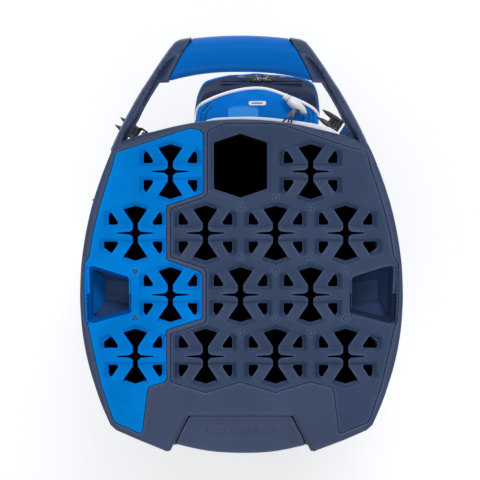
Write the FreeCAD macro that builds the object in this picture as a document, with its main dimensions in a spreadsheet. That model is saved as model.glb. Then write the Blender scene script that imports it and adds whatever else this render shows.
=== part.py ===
import FreeCAD, Part
import Sketcher
import math
import os

# Golf cart bag: fourteen-way moulded top with soft club grips, fabric tube, pockets and strap.
# Millimetres, Z up, origin on the floor under the middle of the base. -Y is the front (carry
# handle and front pockets), +Y the spine. "Left" is the bag's own left, +X.

Vector = FreeCAD.Vector
Placement = FreeCAD.Placement
Rotation = FreeCAD.Rotation
doc = FreeCAD.newDocument("golf_cart_bag")

# ---------------------------------------------------------------- driving dimensions
DIMS = [
    ("top_z", 880.0, "rim of the moulded top above the floor"),
    ("rim_bevel", 3.5, "bevel round the top's upper edge"),
    ("skirt_z", 818.0, "lower edge of the top's skirt"),
    ("deck_low", 856.0, "underside of the lattice deck"),
    ("deck_top", 868.0, "upper face of the lattice deck, where the inserts lie"),
    ("insert_thick", 11.0, "soft insert thickness"),
    ("insert_lift", 0.2, "bedding gap under an insert"),
    ("peg_tall", 11.7, "locating pegs above the deck"),
    ("notch_z", 862.0, "seat of the rear panel"),
    ("panel_thick", 7.0, "rear panel thickness"),
    ("bar_z", 900.0, "underside of the carry bar core"),
    ("bar_thick", 12.0, "carry bar core height"),
    ("bar_long", 121.0, "carry bar core length"),
    ("rivet_r", 2.0, "rivet shank radius"),
    ("rivet_hole", 2.15, "rivet hole radius"),
    ("rivet_z", 836.0, "upper rivet row"),
    ("foot_rivet_z", 38.0, "lower rivet row"),
    ("shell_low", 8.6, "lower edge of the fabric shell"),
    ("shell_high", 855.5, "upper edge of the fabric shell"),
    ("base_low", 4.0, "underside of the base cup"),
    ("base_high", 60.0, "rim of the base cup"),
    ("base_floor", 8.0, "top of the base cup's floor"),
    ("sole_thick", 3.8, "rubber sole thickness"),
    ("sleeve_low", 12.0, "lower end of the club sleeves"),
    ("sleeve_high", 855.2, "upper end of the club sleeves"),
    ("rod_r", 4.0, "stay rod radius"),
    ("rod_bore", 3.0, "stay rod bore radius"),
    ("cup_low", 832.0, "underside of a hand-hold cup"),
    ("cup_high", 867.6, "rim of a hand-hold cup"),
    ("cup_floor", 834.0, "floor of a hand-hold cup"),
    ("pocket_skin", 3.5, "pocket wall thickness"),
    ("side_low", 130.0, "bottom of the side pockets"),
    ("side_high", 600.0, "top of the side pockets"),
    ("zip_w", 14.0, "zip tape width"),
    ("tape_t", 0.8, "zip tape thickness"),
    ("coil_w", 4.0, "zip coil width"),
    ("coil_t", 1.4, "zip coil height"),
    ("up_zip", 80.0, "upper pocket zip length"),
    ("low_zip", 96.0, "lower pocket zip length"),
    ("side_zip", 400.0, "side pocket zip length"),
    ("slider_long", 10.0, "slider length"),
    ("slider_wide", 9.0, "slider width"),
    ("pull_thick", 1.6, "pull thickness"),
    ("pin_r", 0.8, "pull cross-pin radius"),
    ("ring_r", 1.6, "D ring wire radius"),
    ("ring_half", 14.0, "D ring half width"),
    ("strap_w", 25.0, "shoulder webbing width"),
    ("strap_pad_w", 50.0, "shoulder pad width"),
    ("lock_r", 6.0, "cord lock body radius"),
    ("button_r", 3.3, "cord lock button radius"),
    ("button_hole", 3.6, "cord lock bore radius"),
    ("cord_r", 1.3, "draw cord radius"),
    ("clip_t", 5.0, "buckle tongue thickness"),
    ("clip_bar", 1.5, "buckle tongue's cross bar radius"),
    ("eye_r", 3.4, "strap swivel eye radius"),
    ("eye_bore", 2.0, "strap swivel eye bore radius"),
    ("eye_pin", 1.6, "strap swivel pin radius"),
]
sheet = doc.addObject("Spreadsheet::Sheet", "dims")
for row, (alias, value, note) in enumerate(DIMS, start=1):
    sheet.set("A%d" % row, alias)
    sheet.set("B%d" % row, str(value))
    sheet.setAlias("B%d" % row, alias)
    sheet.set("C%d" % row, note)
doc.recompute()

NODES = []  # every exported object


def dim(alias):
    return float(sheet.get(alias))


# ---------------------------------------------------------------- plane outlines
def sides(points):
    """Pairs of neighbouring corners round a closed polygon."""
    return list(zip(points, points[1:] + points[:1]))


def mirror(points):
    """Mirrors in X and reverses, so that a loop keeps its turning sense."""
    return [(-x, y) for x, y in reversed(points)]


def rectangle(x0, y0, x1, y1):
    return [(x0, y0), (x1, y0), (x1, y1), (x0, y1)]


def circle(x, y, radius_alias):
    return [("circle", (x, y), radius_alias)]


def grow(points, distance):
    """Offsets a closed polygon outwards (inwards if negative)."""
    area = sum(p[0] * q[1] - q[0] * p[1] for p, q in sides(points))
    sign = 1.0 if area > 0 else -1.0
    normals = []
    for (x0, y0), (x1, y1) in sides(points):
        length = math.hypot(x1 - x0, y1 - y0)
        normals.append(((y1 - y0) / length * sign, -(x1 - x0) / length * sign))
    grown = []
    for i, (x, y) in enumerate(points):
        before, after = normals[i - 1], normals[i]
        k = 1.0 + before[0] * after[0] + before[1] * after[1]
        grown.append((x + distance * (before[0] + after[0]) / k,
                      y + distance * (before[1] + after[1]) / k))
    return grown


def spline(points, closed=False):
    curve = Part.BSplineCurve()
    curve.interpolate(Points=[Vector(*p, 0) for p in points], PeriodicFlag=closed)
    return curve


def dense(points, count, closed=False):
    """Points spaced evenly along a smooth curve through the given ones."""
    found = spline(points, closed).discretize(Number=count + 1 if closed else count)
    found = [(round(p.x, 4), round(p.y, 4)) for p in found]
    return found[:-1] if closed else found


def y_at(outline, x, rear):
    """Y of a closed outline at a given X, on its rear or its front."""
    for (x0, y0), (x1, y1) in sides(outline):
        if x0 != x1 and min(x0, x1) <= x <= max(x0, x1) and (y0 + y1 > 0) == rear:
            return y0 + (y1 - y0) * (x - x0) / (x1 - x0)


def left_x_at(outline, y):
    """X of a closed outline at a given Y, on its left flank."""
    return y_at([(b, a) for a, b in outline], y, True)


# ---------------------------------------------------------------- sketches and features
def body(label):
    piece = doc.addObject("PartDesign::Body", label)
    piece.Label = label
    NODES.append(piece)
    return piece


def origin_feature(piece, role):
    return [f for f in piece.Origin.OriginFeatures if f.Role == role][0]


def draw(plan, loop):
    """Draws a loop, given as a list of corners or as a list of tagged segments."""
    if not isinstance(loop[0][0], str):
        loop = [("line", p, q) for p, q in sides(loop)]
    for kind, *data in loop:
        if kind == "line":
            plan.addGeometry(Part.LineSegment(*[Vector(*p, 0) for p in data]))
        elif kind == "arc":
            plan.addGeometry(Part.Arc(*[Vector(*p, 0) for p in data]))
        elif kind == "spline":
            plan.addGeometry(spline(data[0]))
        elif kind == "closed_spline":
            plan.addGeometry(spline(data[0], True))
        elif kind == "circle":
            centre, alias = data
            radius = dim(alias)
            edge = plan.addGeometry(Part.Circle(Vector(*centre, 0), Vector(0, 0, 1), radius))
            n = plan.addConstraint(Sketcher.Constraint("Radius", edge, radius))
            plan.setExpression("Constraints[%d]" % n, "dims." + alias)


def sketch(piece, name, loops, at=None, plane="XY_Plane"):
    """A sketch on one of the body's origin planes, lifted along its normal by at."""
    plan = piece.newObject("Sketcher::SketchObject", piece.Name + "_" + name)
    plan.AttachmentSupport = [(origin_feature(piece, plane), "")]
    plan.MapMode = "FlatFace"
    if at is not None:
        plan.setExpression(".AttachmentOffset.Base.z", str(at))
    for loop in loops:
        draw(plan, loop)
    return plan


def box_sketch(piece, name, width, height, at):
    """A centred rectangle whose two sides are driven by expressions."""
    plan = sketch(piece, name, [rectangle(-5, -5, 5, 5)], at)
    for i in range(4):
        plan.addConstraint(Sketcher.Constraint("Coincident", i, 2, (i + 1) % 4, 1))
    for i, kind in enumerate(("Horizontal", "Vertical") * 2):
        plan.addConstraint(Sketcher.Constraint(kind, i))
    plan.addConstraint(Sketcher.Constraint("Symmetric", 0, 1, 1, 2, -1, 1))
    for i, (kind, size) in enumerate((("DistanceX", width), ("DistanceY", height))):
        n = plan.addConstraint(Sketcher.Constraint(kind, i, 1, i, 2, 10.0))
        plan.setExpression("Constraints[%d]" % n, size)
    return plan


def extrude(piece, kind, plan, length, both=False, reverse=False):
    """A Pad or Pocket of a sketch; length is an expression, or None for a cut through all."""
    result = piece.newObject("PartDesign::" + kind, plan.Name + "_" + kind.lower())
    result.Profile = plan
    if both:
        result.SideType = "Symmetric"
    result.Reversed = reverse
    if length is None:
        result.Type = "ThroughAll"
    else:
        result.setExpression("Length", str(length))
    return result


def pad(piece, name, loops, length, at=None, plane="XY_Plane", both=False):
    return extrude(piece, "Pad", sketch(piece, name, loops, at, plane), length, both)


def cut(piece, name, loops, length=None, at=None, plane="XY_Plane", both=False, reverse=False):
    plan = sketch(piece, name, loops, at, plane)
    return extrude(piece, "Pocket", plan, length, both, reverse)


def group(label, shapes):
    node = doc.addObject("Part::Feature", label)
    node.Label = label
    node.Shape = Part.makeCompound(shapes)
    NODES.append(node)


def frame(origin, run, normal):
    """Placement whose local X lies along run and local Z along normal."""
    run, normal = Vector(*run).normalize(), Vector(*normal).normalize()
    across = normal.cross(run)
    return Placement(FreeCAD.Matrix(
        run.x, across.x, normal.x, origin[0],
        run.y, across.y, normal.y, origin[1],
        run.z, across.z, normal.z, origin[2],
        0, 0, 0, 1))


# ---------------------------------------------------------------- plan outlines, (x, y)
# the rim's left half in four runs from the front's middle to the rear's middle
RIM_FRONT = [(0.0, -150.0), (35.1, -147.8), (54.4, -144.6), (79.2, -138.4), (110.7, -128.3)]
RIM_FLANK = [
    (110.7, -128.3), (124.7, -100.4), (134.3, -67.3), (139.8, -37.0), (143.1, -4.0),
    (143.9, 18.1), (141.1, 48.4), (134.3, 78.7), (124.4, 106.0), (115.6, 125.6)]
RIM_TAIL = [(115.6, 125.6), (110.4, 130.4), (66.5, 149.6), (63.4, 149.0)]
RIM_REAR = [(63.4, 149.0), (40.0, 146.2), (0.0, 146.6)]


def rim_outline():
    """The rim as short straight sides, counter-clockwise from the front's middle."""
    front = dense(mirror(RIM_FRONT) + RIM_FRONT[1:], 25)
    flank = dense(RIM_FLANK, 28)
    rear = dense(RIM_REAR[:-1] + mirror(RIM_REAR), 13)
    half = front[12:-1] + flank[:-1] + RIM_TAIL[:-1] + rear[:7]
    return half + mirror(half[1:-1])


RIM = rim_outline()

# left half of the fabric tube, front to rear; the shell, base and pocket backs follow it
TUBE_HALF = [
    (0.0, -145.0), (40.0, -142.2), (75.0, -133.5), (102.0, -121.0), (118.5, -97.0),
    (128.8, -66.0), (134.6, -36.0), (138.0, -3.0), (138.9, 18.0), (136.2, 47.0),
    (129.6, 77.0), (119.0, 102.5), (105.0, 119.5), (85.0, 131.6), (60.0, 138.6),
    (30.0, 140.9), (0.0, 141.2)]
TUBE = TUBE_HALF + mirror(TUBE_HALF[1:-1])


def tube_run(distance, count=96):
    """The tube's outline grown by a distance, as a polygon."""
    return grow(dense(TUBE, count, True), distance)


def tube_ring(distance):
    """The tube's outline grown by a distance, as one smooth curve."""
    return [("closed_spline", tube_run(distance, 48))]


SPINE_Y = y_at(tube_run(0.0), 0, rear=True)

# club wells: rows from the front, columns in pitches; the first of each row is blue
PITCH = 63.3
FIRST_ROW, ROW_STEP = -102.8, 55.6
COLUMNS = [(1, -1), (1.5, 0.5, -0.5, -1.5), (1, 0, -1), (1.5, 0.5, -0.5, -1.5)]
CELL_ROWS = [[(column * PITCH, FIRST_ROW + i * ROW_STEP) for column in columns]
             for i, columns in enumerate(COLUMNS)]
CELLS = sum(CELL_ROWS, [])
BLUE_CELLS = [cells[0] for cells in CELL_ROWS]
NAVY_CELLS = [cell for cells in CELL_ROWS for cell in cells[1:]]
PUTTER = (0.0, -108.2)
WELL = (28.3, 29.2, 19.4)  # hexagon's half width, point height, corner height

# outer left edge of an insert, rear to front, shared by both inserts
INSERT_EDGE = [
    (82.7, 92.3), (83.9, 95.8), (88.2, 131.4), (89.6, 133.5), (91.9, 133.1), (110.9, 123.9),
    (113.1, 121.1), (125.2, 88.9), (132.1, 60.2), (136.7, 38.4), (139.3, 31.5), (140.2, 20.1),
    (140.0, 0.0), (139.0, -18.2), (138.0, -21.2), (135.1, -26.5), (132.3, -46.1),
    (127.2, -68.8), (121.1, -91.5), (114.4, -110.2), (111.3, -118.9)]
BLUE = [
    (108.7, -121.0), (51.9, -140.1), (45.7, -141.9), (37.4, -140.6), (33.5, -137.5),
    (33.5, -84.3), (36.5, -81.7), (66.3, -71.9), (66.7, -69.8), (66.7, -23.9), (64.9, -22.6),
    (37.4, -13.1), (34.7, -10.4), (34.5, 28.1), (35.6, 30.3), (66.1, 40.0), (67.0, 41.8),
    (66.3, 84.3), (68.4, 87.2), (80.5, 90.6)] + INSERT_EDGE
NAVY = [
    (28.2, -140.4), (14.4, -146.3), (-22.8, -146.3), (-37.8, -144.9), (-108.7, -121.4),
] + mirror(INSERT_EDGE) + [
    (-79.8, 91.4), (-63.7, 87.2), (-61.5, 87.2), (-31.6, 96.6), (-1.0, 87.6), (1.7, 87.6),
    (31.6, 96.6), (62.3, 87.4), (63.1, 84.6), (63.1, 43.6), (32.9, 33.6), (31.0, 31.0),
    (31.0, -11.9), (32.9, -15.4), (62.6, -25.4), (63.1, -28.0), (63.1, -67.5), (61.6, -69.8),
    (32.4, -79.8), (29.9, -83.7), (29.9, -138.4)]
HAND_HOLE = [(136.4, -15.6), (100.8, -4.2), (100.8, 22.6), (136.4, 31.6)]

# locating pegs: column in pitches, y of the wall junction, whether the point faces +Y
NAVY_JUNCTIONS = [
    (0, -69.6, False), (-1, -69.6, False), (-0.5, -80.4, True), (0, -24.8, False),
    (-1, -24.8, False), (-0.5, -14.0, True), (-1.5, -14.0, True), (-0.5, 30.8, False),
    (-1.5, 30.8, False), (0, 41.6, True), (-1, 41.6, True)]
PEG_SHIFT = 1.5  # from the junction towards the peg's point
NAVY_PEGS = [(column * PITCH, y + (PEG_SHIFT if up else -PEG_SHIFT), up)
             for column, y, up in NAVY_JUNCTIONS]
BLUE_PEGS = [(1.5 * PITCH, -12.5, True), (1.5 * PITCH, 29.3, False)]


def hexagon(centre, half_width, point, corner):
    x, y = centre
    return [(x, y - point), (x + half_width, y - corner), (x + half_width, y + corner),
            (x, y + point), (x - half_width, y + corner), (x - half_width, y - corner)]


def peg(x, y, up, scale=1.0):
    """Triangular peg; its point lies along the wall that leaves the junction."""
    way = 1.0 if up else -1.0
    return [(x - 2.9 * scale, y - 1.9 * way * scale), (x + 2.9 * scale, y - 1.9 * way * scale),
            (x, y + 3.4 * way * scale)]


# ---------------------------------------------------------------- moulded top
# left side of the carry frame in plan: inner web and outer flange
WEB = [
    (106.5, -118.0), (106.5, -132.0), (87.5, -165.5), (77.5, -182.0), (62.0, -201.0),
    (54.0, -200.8), (63.6, -183.4), (69.9, -180.5), (78.5, -165.4), (93.1, -141.8),
    (104.3, -130.5), (101.0, -118.0)]
FLANGE = [
    (109.5, -118.0), (110.7, -128.2), (97.7, -160.1), (83.3, -186.1), (66.7, -205.6),
    (57.2, -214.5), (47.5, -218.4), (43.9, -219.0), (53.8, -200.8), (60.8, -200.1),
    (76.1, -182.1), (86.0, -166.0), (105.7, -130.0), (104.0, -118.0)]
# side views, (y, z), of what is cut away above and below the carry frame
ABOVE_WEB = [(-100, 873), (-128, 873), (-186, 913), (-236, 918), (-236, 960), (-100, 960)]
ABOVE_FLANGE = [(-100, 880), (-129, 880), (-186, 921), (-236, 927), (-236, 960), (-100, 960)]
UNDER_FRAME = [(-116, 800), (-116, 846), (-190, 893), (-236, 896), (-236, 800)]
FRAME_Z, FRAME_TALL = 846, 90
SKIRT_WALL = 4.3
BEVEL_ANGLE = -38.0
NOTCH = [(46.5, 117.3), (65.0, 152.0), (-65.0, 152.0), (-46.5, 117.3)]
PIN_Y, PIN_Z = 138.6, 866.0  # axis of the rear panel's pins
RIVET_YS = (-30.0, 42.0)  # flank rivets
RIVET_XS = (-40.0, 40.0)  # rear rivets


def rivet_holes(piece, z):
    """Holes through both flanks, then through the rear only."""
    cut(piece, "flank_holes", [circle(y, z, "rivet_hole") for y in RIVET_YS], 400,
        plane="YZ_Plane", both=True)
    cut(piece, "rear_holes", [circle(x, z, "rivet_hole") for x in RIVET_XS], 400,
        plane="XZ_Plane")


def top_collar():
    top = body("top_collar")
    pad(top, "web", [WEB, mirror(WEB)], FRAME_TALL, at=FRAME_Z)
    cut(top, "web_top", [ABOVE_WEB], 300, plane="YZ_Plane", both=True)
    pad(top, "flange", [FLANGE, mirror(FLANGE)], FRAME_TALL, at=FRAME_Z)
    cut(top, "flange_top", [ABOVE_FLANGE], 300, plane="YZ_Plane", both=True)
    cut(top, "under", [UNDER_FRAME], 300, plane="YZ_Plane", both=True)
    bar_half = dim("bar_long") / 2
    pad(top, "bar", [rectangle(-bar_half, -210, bar_half, -190)], "dims.bar_thick",
        at="dims.bar_z")
    pad(top, "rim", [RIM], "dims.top_z - dims.skirt_z - dims.rim_bevel", at="dims.skirt_z")
    bevel = pad(top, "bevel", [RIM], "dims.rim_bevel", at="dims.top_z - dims.rim_bevel")
    bevel.TaperAngle = BEVEL_ANGLE
    cut(top, "socket", [grow(RIM, -SKIRT_WALL)], "dims.deck_low - dims.skirt_z",
        at="dims.skirt_z", reverse=True)
    cut(top, "recess", [BLUE, NAVY], "dims.top_z - dims.deck_top", at="dims.top_z")
    wells = [hexagon(cell, *WELL) for cell in CELLS] + [hexagon(PUTTER, 24.8, 29.9, 21.7)]
    cut(top, "wells", wells + [HAND_HOLE, mirror(HAND_HOLE)],
        "dims.deck_top - dims.deck_low + 2", at="dims.deck_top + 1")
    cut(top, "notch", [NOTCH], "dims.top_z + 1 - dims.notch_z", at="dims.top_z + 1")
    pad(top, "pegs", [peg(*p) for p in NAVY_PEGS + BLUE_PEGS], "dims.peg_tall + 1",
        at="dims.deck_top - 1")
    rivet_holes(top, dim("rivet_z"))
    cut(top, "pin_holes", [circle(PIN_Y, PIN_Z, "rivet_hole")], 122,
        plane="YZ_Plane", both=True)


# ---------------------------------------------------------------- soft club grip inserts
# half of the slit with its two fans, about the well's centre
CROSS_HALF = [(0, -24.3), (10.6, -21.3), (2.1, -9.3), (2.1, -4.1), (4.5, -2.0), (16.0, 0.0),
              (4.5, 2.0), (2.1, 4.1), (2.1, 9.3), (10.6, 21.3)]
INSERT_GAP = 0.3
PEG_HOLE_SCALE = 1.22


def cross(centre):
    """The slit and the two fans between the four soft fingers of a club well."""
    x, y = centre
    return ([(x + across, y + along) for across, along in CROSS_HALF]
            + [(x - across, y - along) for across, along in CROSS_HALF])


def relief(centre, x_way, y_way, wide):
    """The corner hole behind a finger; wide stretches it towards a flared rim."""
    x, y = centre
    corners = [(23.0 + wide, -7.2), (23.0 + wide, -14.8 + wide * 0.6), (20.3, -17.3),
               (15.5, -9.8), (15.7, -7.5)]
    return [(x + x_way * across, y - y_way * along) for across, along in corners]


def openings(centre):
    """Cross and four reliefs; the outermost wells have one relief widened."""
    x, y = centre
    holes = [cross(centre)]
    for x_way in (1, -1):
        for y_way in (1, -1):
            widened = abs(x) > 90 and x_way * x > 0 and y_way * y < 0
            holes.append(relief(centre, x_way, y_way, 4.5 if widened else 0.0))
    return holes


def club_insert(label, outline, cells, pegs, hand_hole, extra):
    piece = body(label)
    pad(piece, "outline", [grow(outline, -INSERT_GAP)], "dims.insert_thick",
        at="dims.deck_top + dims.insert_lift")
    cuts = [hole for cell in cells for hole in openings(cell)]
    cuts += [peg(x, y, up, PEG_HOLE_SCALE) for x, y, up in pegs]
    cuts += [grow(hand_hole, 0.4)] + extra
    cut(piece, "openings", cuts, at="dims.deck_top + dims.insert_lift + dims.insert_thick + 1")


# ---------------------------------------------------------------- carry handle, rear panel, cups
def handle_grip():
    grip = body("handle_grip")
    pad(grip, "round", [[
        ("arc", (-213, 893), (-219.5, 910), (-213, 927)), ("line", (-213, 927), (-190, 926)),
        ("arc", (-190, 926), (-183.5, 910), (-190, 894)), ("line", (-190, 894), (-213, 893)),
    ]], 140, plane="YZ_Plane", both=True)
    cut(grip, "core", [rectangle(-210.5, 899.5, -189.5, 912.5)], 200,
        plane="YZ_Plane", both=True)
    end = [(41.5, -222.0), (53.0, -200.9), (63.8, -181.3), (90.0, -181.0), (90.0, -222.0)]
    cut(grip, "ends", [end, mirror(end)], at=940)


def rear_grip_panel():
    panel = body("rear_grip_panel")
    pad(panel, "plate", [[
        ("line", (-44.6, 118.3), (44.6, 118.3)), ("line", (44.6, 118.3), (55.6, 139.6)),
        ("arc", (55.6, 139.6), (0.0, 147.8), (-55.6, 139.6)),
        ("line", (-55.6, 139.6), (-44.6, 118.3)),
    ]], "dims.panel_thick", at="dims.notch_z + 0.2")
    marks = [rectangle(x - 8.5, 126.5, x + 8.5, 133.0) for x in (-22.0, 0.0, 22.0)]
    cut(panel, "grip_marks", marks, 0.8, at="dims.notch_z + 0.2 + dims.panel_thick")
    cut(panel, "pin_holes", [circle(PIN_Y, PIN_Z, "rivet_hole")], 200,
        plane="YZ_Plane", both=True)


def rear_panel_pins():
    group("rear_panel_pins", [
        Part.makeCylinder(dim("rivet_r"), 12.5, Vector(x, PIN_Y, PIN_Z), Vector(1, 0, 0))
        for x in (47.5, -60.0)])


CUP = [(134.6, -14.4), (101.6, -3.8), (101.6, 22.2), (134.6, 30.5)]
CUP_WALL = 2.0


def handhold_cup(label, outline):
    cup = body(label)
    pad(cup, "outside", [outline], "dims.cup_high - dims.cup_low", at="dims.cup_low")
    cut(cup, "inside", [grow(outline, -CUP_WALL)], "dims.cup_high + 1 - dims.cup_floor",
        at="dims.cup_high + 1")


# ---------------------------------------------------------------- rivets
def rivet(seat, outward):
    """A shank sunk into the wall, with a low cone head on the seat."""
    shank = Part.makeCylinder(dim("rivet_r"), 9.0, seat - outward * 8.9, outward)
    return shank.fuse(Part.makeCone(4.0, 2.6, 1.5, seat, outward)).removeSplitter()


def rivets(label, z, outline, flank_gap=0.0, rear_gap=0.0):
    """Two rivets on each flank and two behind, clear of the outline by the gaps."""
    row = []
    for y in RIVET_YS:
        x = left_x_at(outline, y) + flank_gap
        for side in (1, -1):
            row.append(rivet(Vector(side * x, y, z), Vector(side, 0, 0)))
    for x in RIVET_XS:
        y = y_at(outline, x, rear=True) + rear_gap
        row.append(rivet(Vector(x, y, z), Vector(0, 1, 0)))
    group(label, row)


# ---------------------------------------------------------------- putter tube, sleeves, rods
ROD_CENTRES = [(104.5, -104.5), (-104.5, -104.5), (98.0, 107.5), (-98.0, 107.5)]


def putter_tube():
    tube = body("putter_tube")
    walls = [hexagon(PUTTER, 26.3, 31.5, 23.2), hexagon(PUTTER, 24.8, 29.8, 21.9)]
    pad(tube, "wall", walls, "dims.sleeve_high - dims.sleeve_low", at="dims.sleeve_low")


def tubes(label, loops):
    """Several separate tubes over the sleeve height, from outer and inner loops."""
    plan = doc.addObject("Sketcher::SketchObject", label + "_plan")
    plan.setExpression(".Placement.Base.z", "dims.sleeve_low")
    for loop in loops:
        draw(plan, loop)
    node = doc.addObject("Part::Extrusion", label)
    node.Base = plan
    node.DirMode = "Normal"
    node.Solid = True
    node.FaceMakerClass = "Part::FaceMakerBullseye"
    node.setExpression("LengthFwd", "dims.sleeve_high - dims.sleeve_low")
    node.Label = label
    NODES.append(node)


def club_sleeves():
    tubes("club_sleeves", [hexagon(cell, *size) for cell in CELLS
                           for size in (WELL, (27.4, 28.25, 18.75))])


def stay_rods():
    tubes("stay_rods", [circle(x, y, alias) for x, y in ROD_CENTRES
                        for alias in ("rod_r", "rod_bore")])


# ---------------------------------------------------------------- shell, hem, base, spine pad
HEM_OUTER = [
    (40.5, -145.5), (34.6, -150.6), (11.7, -155.2), (-12.0, -155.6), (-36.0, -153.8),
    (-71.3, -148.8), (-82.7, -145.8), (-91.0, -140.6), (-97.6, -133.0), (-99.0, -126.5)]
HEM_INNER_XS = (-97.0, -75.0, -50.0, -25.0, 0.0, 20.0, 38.5)


def body_shell():
    shell = body("body_shell")
    pad(shell, "wall", [tube_ring(0.0), tube_ring(-2.4)], "dims.shell_high - dims.shell_low",
        at="dims.shell_low")
    for alias in ("rivet_z", "foot_rivet_z"):
        rivet_holes(shell, dim(alias))


def front_hem():
    inner = [(x, y_at(tube_run(1.1), x, rear=False)) for x in HEM_INNER_XS]
    pad(body("front_hem"), "band", [[
        ("spline", HEM_OUTER), ("line", HEM_OUTER[-1], inner[0]),
        ("spline", inner), ("line", inner[-1], HEM_OUTER[0]),
    ]], 15, at=798)


def base_cup():
    cup = body("base_cup")
    pad(cup, "plan", [tube_ring(5.0)], "dims.base_high - dims.base_low", at="dims.base_low")
    cut(cup, "socket", [tube_ring(0.4)], "dims.base_high + 1 - dims.base_floor",
        at="dims.base_high + 1")
    rivet_holes(cup, dim("foot_rivet_z"))


def base_sole():
    pad(body("base_sole"), "plan", [tube_ring(-4.0)], "dims.sole_thick")


def spine_pad():
    edge_y, middle_y = [y_at(tube_run(0.4), x, rear=True) for x in (52, 26)]
    pad(body("spine_pad"), "plan", [[
        (52, edge_y), (55.5, SPINE_Y + 2.0), (52, SPINE_Y + 6.0), (40, SPINE_Y + 7.5),
        (-40, SPINE_Y + 7.5), (-52, SPINE_Y + 6.0), (-55.5, SPINE_Y + 2.0), (-52, edge_y),
        (-26, middle_y), (0, SPINE_Y + 0.4), (26, middle_y),
    ]], 560, at=110)


# ---------------------------------------------------------------- pockets
# front faces in side view, (y, z), from the top down
UPPER_FACE = [(-187, 742), (-200, 702), (-203, 650), (-200, 600), (-189, 566)]
LOWER_FACE = [(-191, 548), (-207, 502), (-211, 400), (-211, 180), (-198, 70)]
ROOT_Y = -150.0  # where a front pocket's top and foot start to be trimmed
HOLLOW_BACK_Y = -118.0

# plan of the left pocket: its back on the shell, its outside a smooth curve
SIDE_INNER = [p for p in tube_run(0.5) if p[0] > 60 and -99.0 < p[1] < 103.0]
SIDE_OUTER = dense([
    (SIDE_INNER[0][0] + 11.0, SIDE_INNER[0][1] + 4.0), (143.0, -86.0), (153.0, -68.0),
    (158.6, -43.0), (160.6, -10.0), (160.2, 25.0), (156.2, 58.0), (148.0, 84.0),
    (SIDE_INNER[-1][0] + 10.0, SIDE_INNER[-1][1] - 2.0)], 25)


def front_pocket(label, face, x0, x1, corner):
    """A soft box on the shell's front: padded in plan, trimmed to its face, then hollowed."""
    pocket = body(label)
    skin = dim("pocket_skin")
    nose = min(y for y, z in face)
    high, low = face[0][1], face[-1][1]
    middle = (x0 + x1) / 2
    back = [(x, y_at(tube_run(1.4), x, rear=False))
            for x in (x1, x1 - 14, middle + 14, middle - 14, x0 + 14, x0)]
    bulge = corner * (1 - math.cos(math.radians(45)))
    plan = [("line", p, q) for p, q in zip(back, back[1:])]
    plan += [
        ("line", back[-1], (x0, nose + corner)),
        ("arc", (x0, nose + corner), (x0 + bulge, nose + bulge), (x0 + corner, nose)),
        ("line", (x0 + corner, nose), (x1 - corner, nose)),
        ("arc", (x1 - corner, nose), (x1 - bulge, nose + bulge), (x1, nose + corner)),
        ("line", (x1, nose + corner), back[0])]
    pad(pocket, "plan", [plan], high - low, at=low)
    trim = [(ROOT_Y, high)] + face + [
        (ROOT_Y, low), (ROOT_Y, low - 20), (nose - 30, low - 20), (nose - 30, high + 20),
        (ROOT_Y, high + 20)]
    cut(pocket, "trim", [trim], 400, plane="YZ_Plane", both=True)
    hollow = [(HOLLOW_BACK_Y, high - skin), (face[0][0] + skin, high - skin)]
    hollow += [(y + skin, z) for y, z in face[1:-1]]
    hollow += [(face[-1][0] + skin, low + skin), (HOLLOW_BACK_Y, low + skin)]
    cut(pocket, "hollow", [hollow], x1 - x0 - 2 * skin, at=x0 + skin, plane="YZ_Plane",
        reverse=True)


def side_pocket(label, side):
    pocket = body(label)
    plan = SIDE_INNER[::-1] + SIDE_OUTER
    pad(pocket, "plan", [[(side * x, y) for x, y in plan]], "dims.side_high - dims.side_low",
        at="dims.side_low")
    hollow = grow(SIDE_OUTER, -3.4)[2:-2] + [(118.0, 80.0), (118.0, -72.0)]
    cut(pocket, "hollow", [[(side * x, y) for x, y in hollow]],
        "dims.side_high - dims.side_low - 2 * dims.pocket_skin",
        at="dims.side_low + dims.pocket_skin", reverse=True)


# ---------------------------------------------------------------- zips
# Each is built flat, with local X along the zip and local Z outwards, and then placed.
PULL_PIN_Z = 5.45
BRIDGE = [(-3.6, 4.1), (-3.6, 7.6), (3.6, 7.6), (3.6, 4.1), (2.0, 4.1), (2.0, 6.7),
          (-2.0, 6.7), (-2.0, 4.1)]
PULL_TAB = [
    (0.0, -3.2), (4.5, -3.2), (8.5, -2.6), (25.0, -2.6), (27.0, -1.2), (27.0, 1.2),
    (25.0, 2.6), (8.5, 2.6), (4.5, 3.2), (0.0, 3.2), (0.0, 1.8), (6.4, 1.8), (6.4, -1.8),
    (0.0, -1.8)]


def zip_track(label, length, place):
    track = body(label)
    tape = box_sketch(track, "tape", length, "dims.zip_w", at=0.3)
    extrude(track, "Pad", tape, "dims.tape_t")
    coil = box_sketch(track, "coil", length + " - 4", "dims.coil_w",
                      at="0.3 + dims.tape_t - 0.1")
    extrude(track, "Pad", coil, "dims.coil_t + 0.1")
    track.Placement = place


def shifted(place, shift):
    """A placement moved along its own X."""
    return place.multiply(Placement(Vector(shift, 0, 0), Rotation()))


def zip_slider(label, place, shift):
    slider = body(label)
    plate = box_sketch(slider, "plate", "dims.slider_long", "dims.slider_wide", at=1.5)
    extrude(slider, "Pad", plate, 2.8)
    channel = box_sketch(slider, "channel", "dims.slider_long + 2", "dims.coil_w + 1.2",
                         at=2.85)
    extrude(slider, "Pocket", channel, 3)
    pad(slider, "bridge", [BRIDGE], 2.4, plane="XZ_Plane", both=True)
    slider.Placement = shifted(place, shift)


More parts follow.
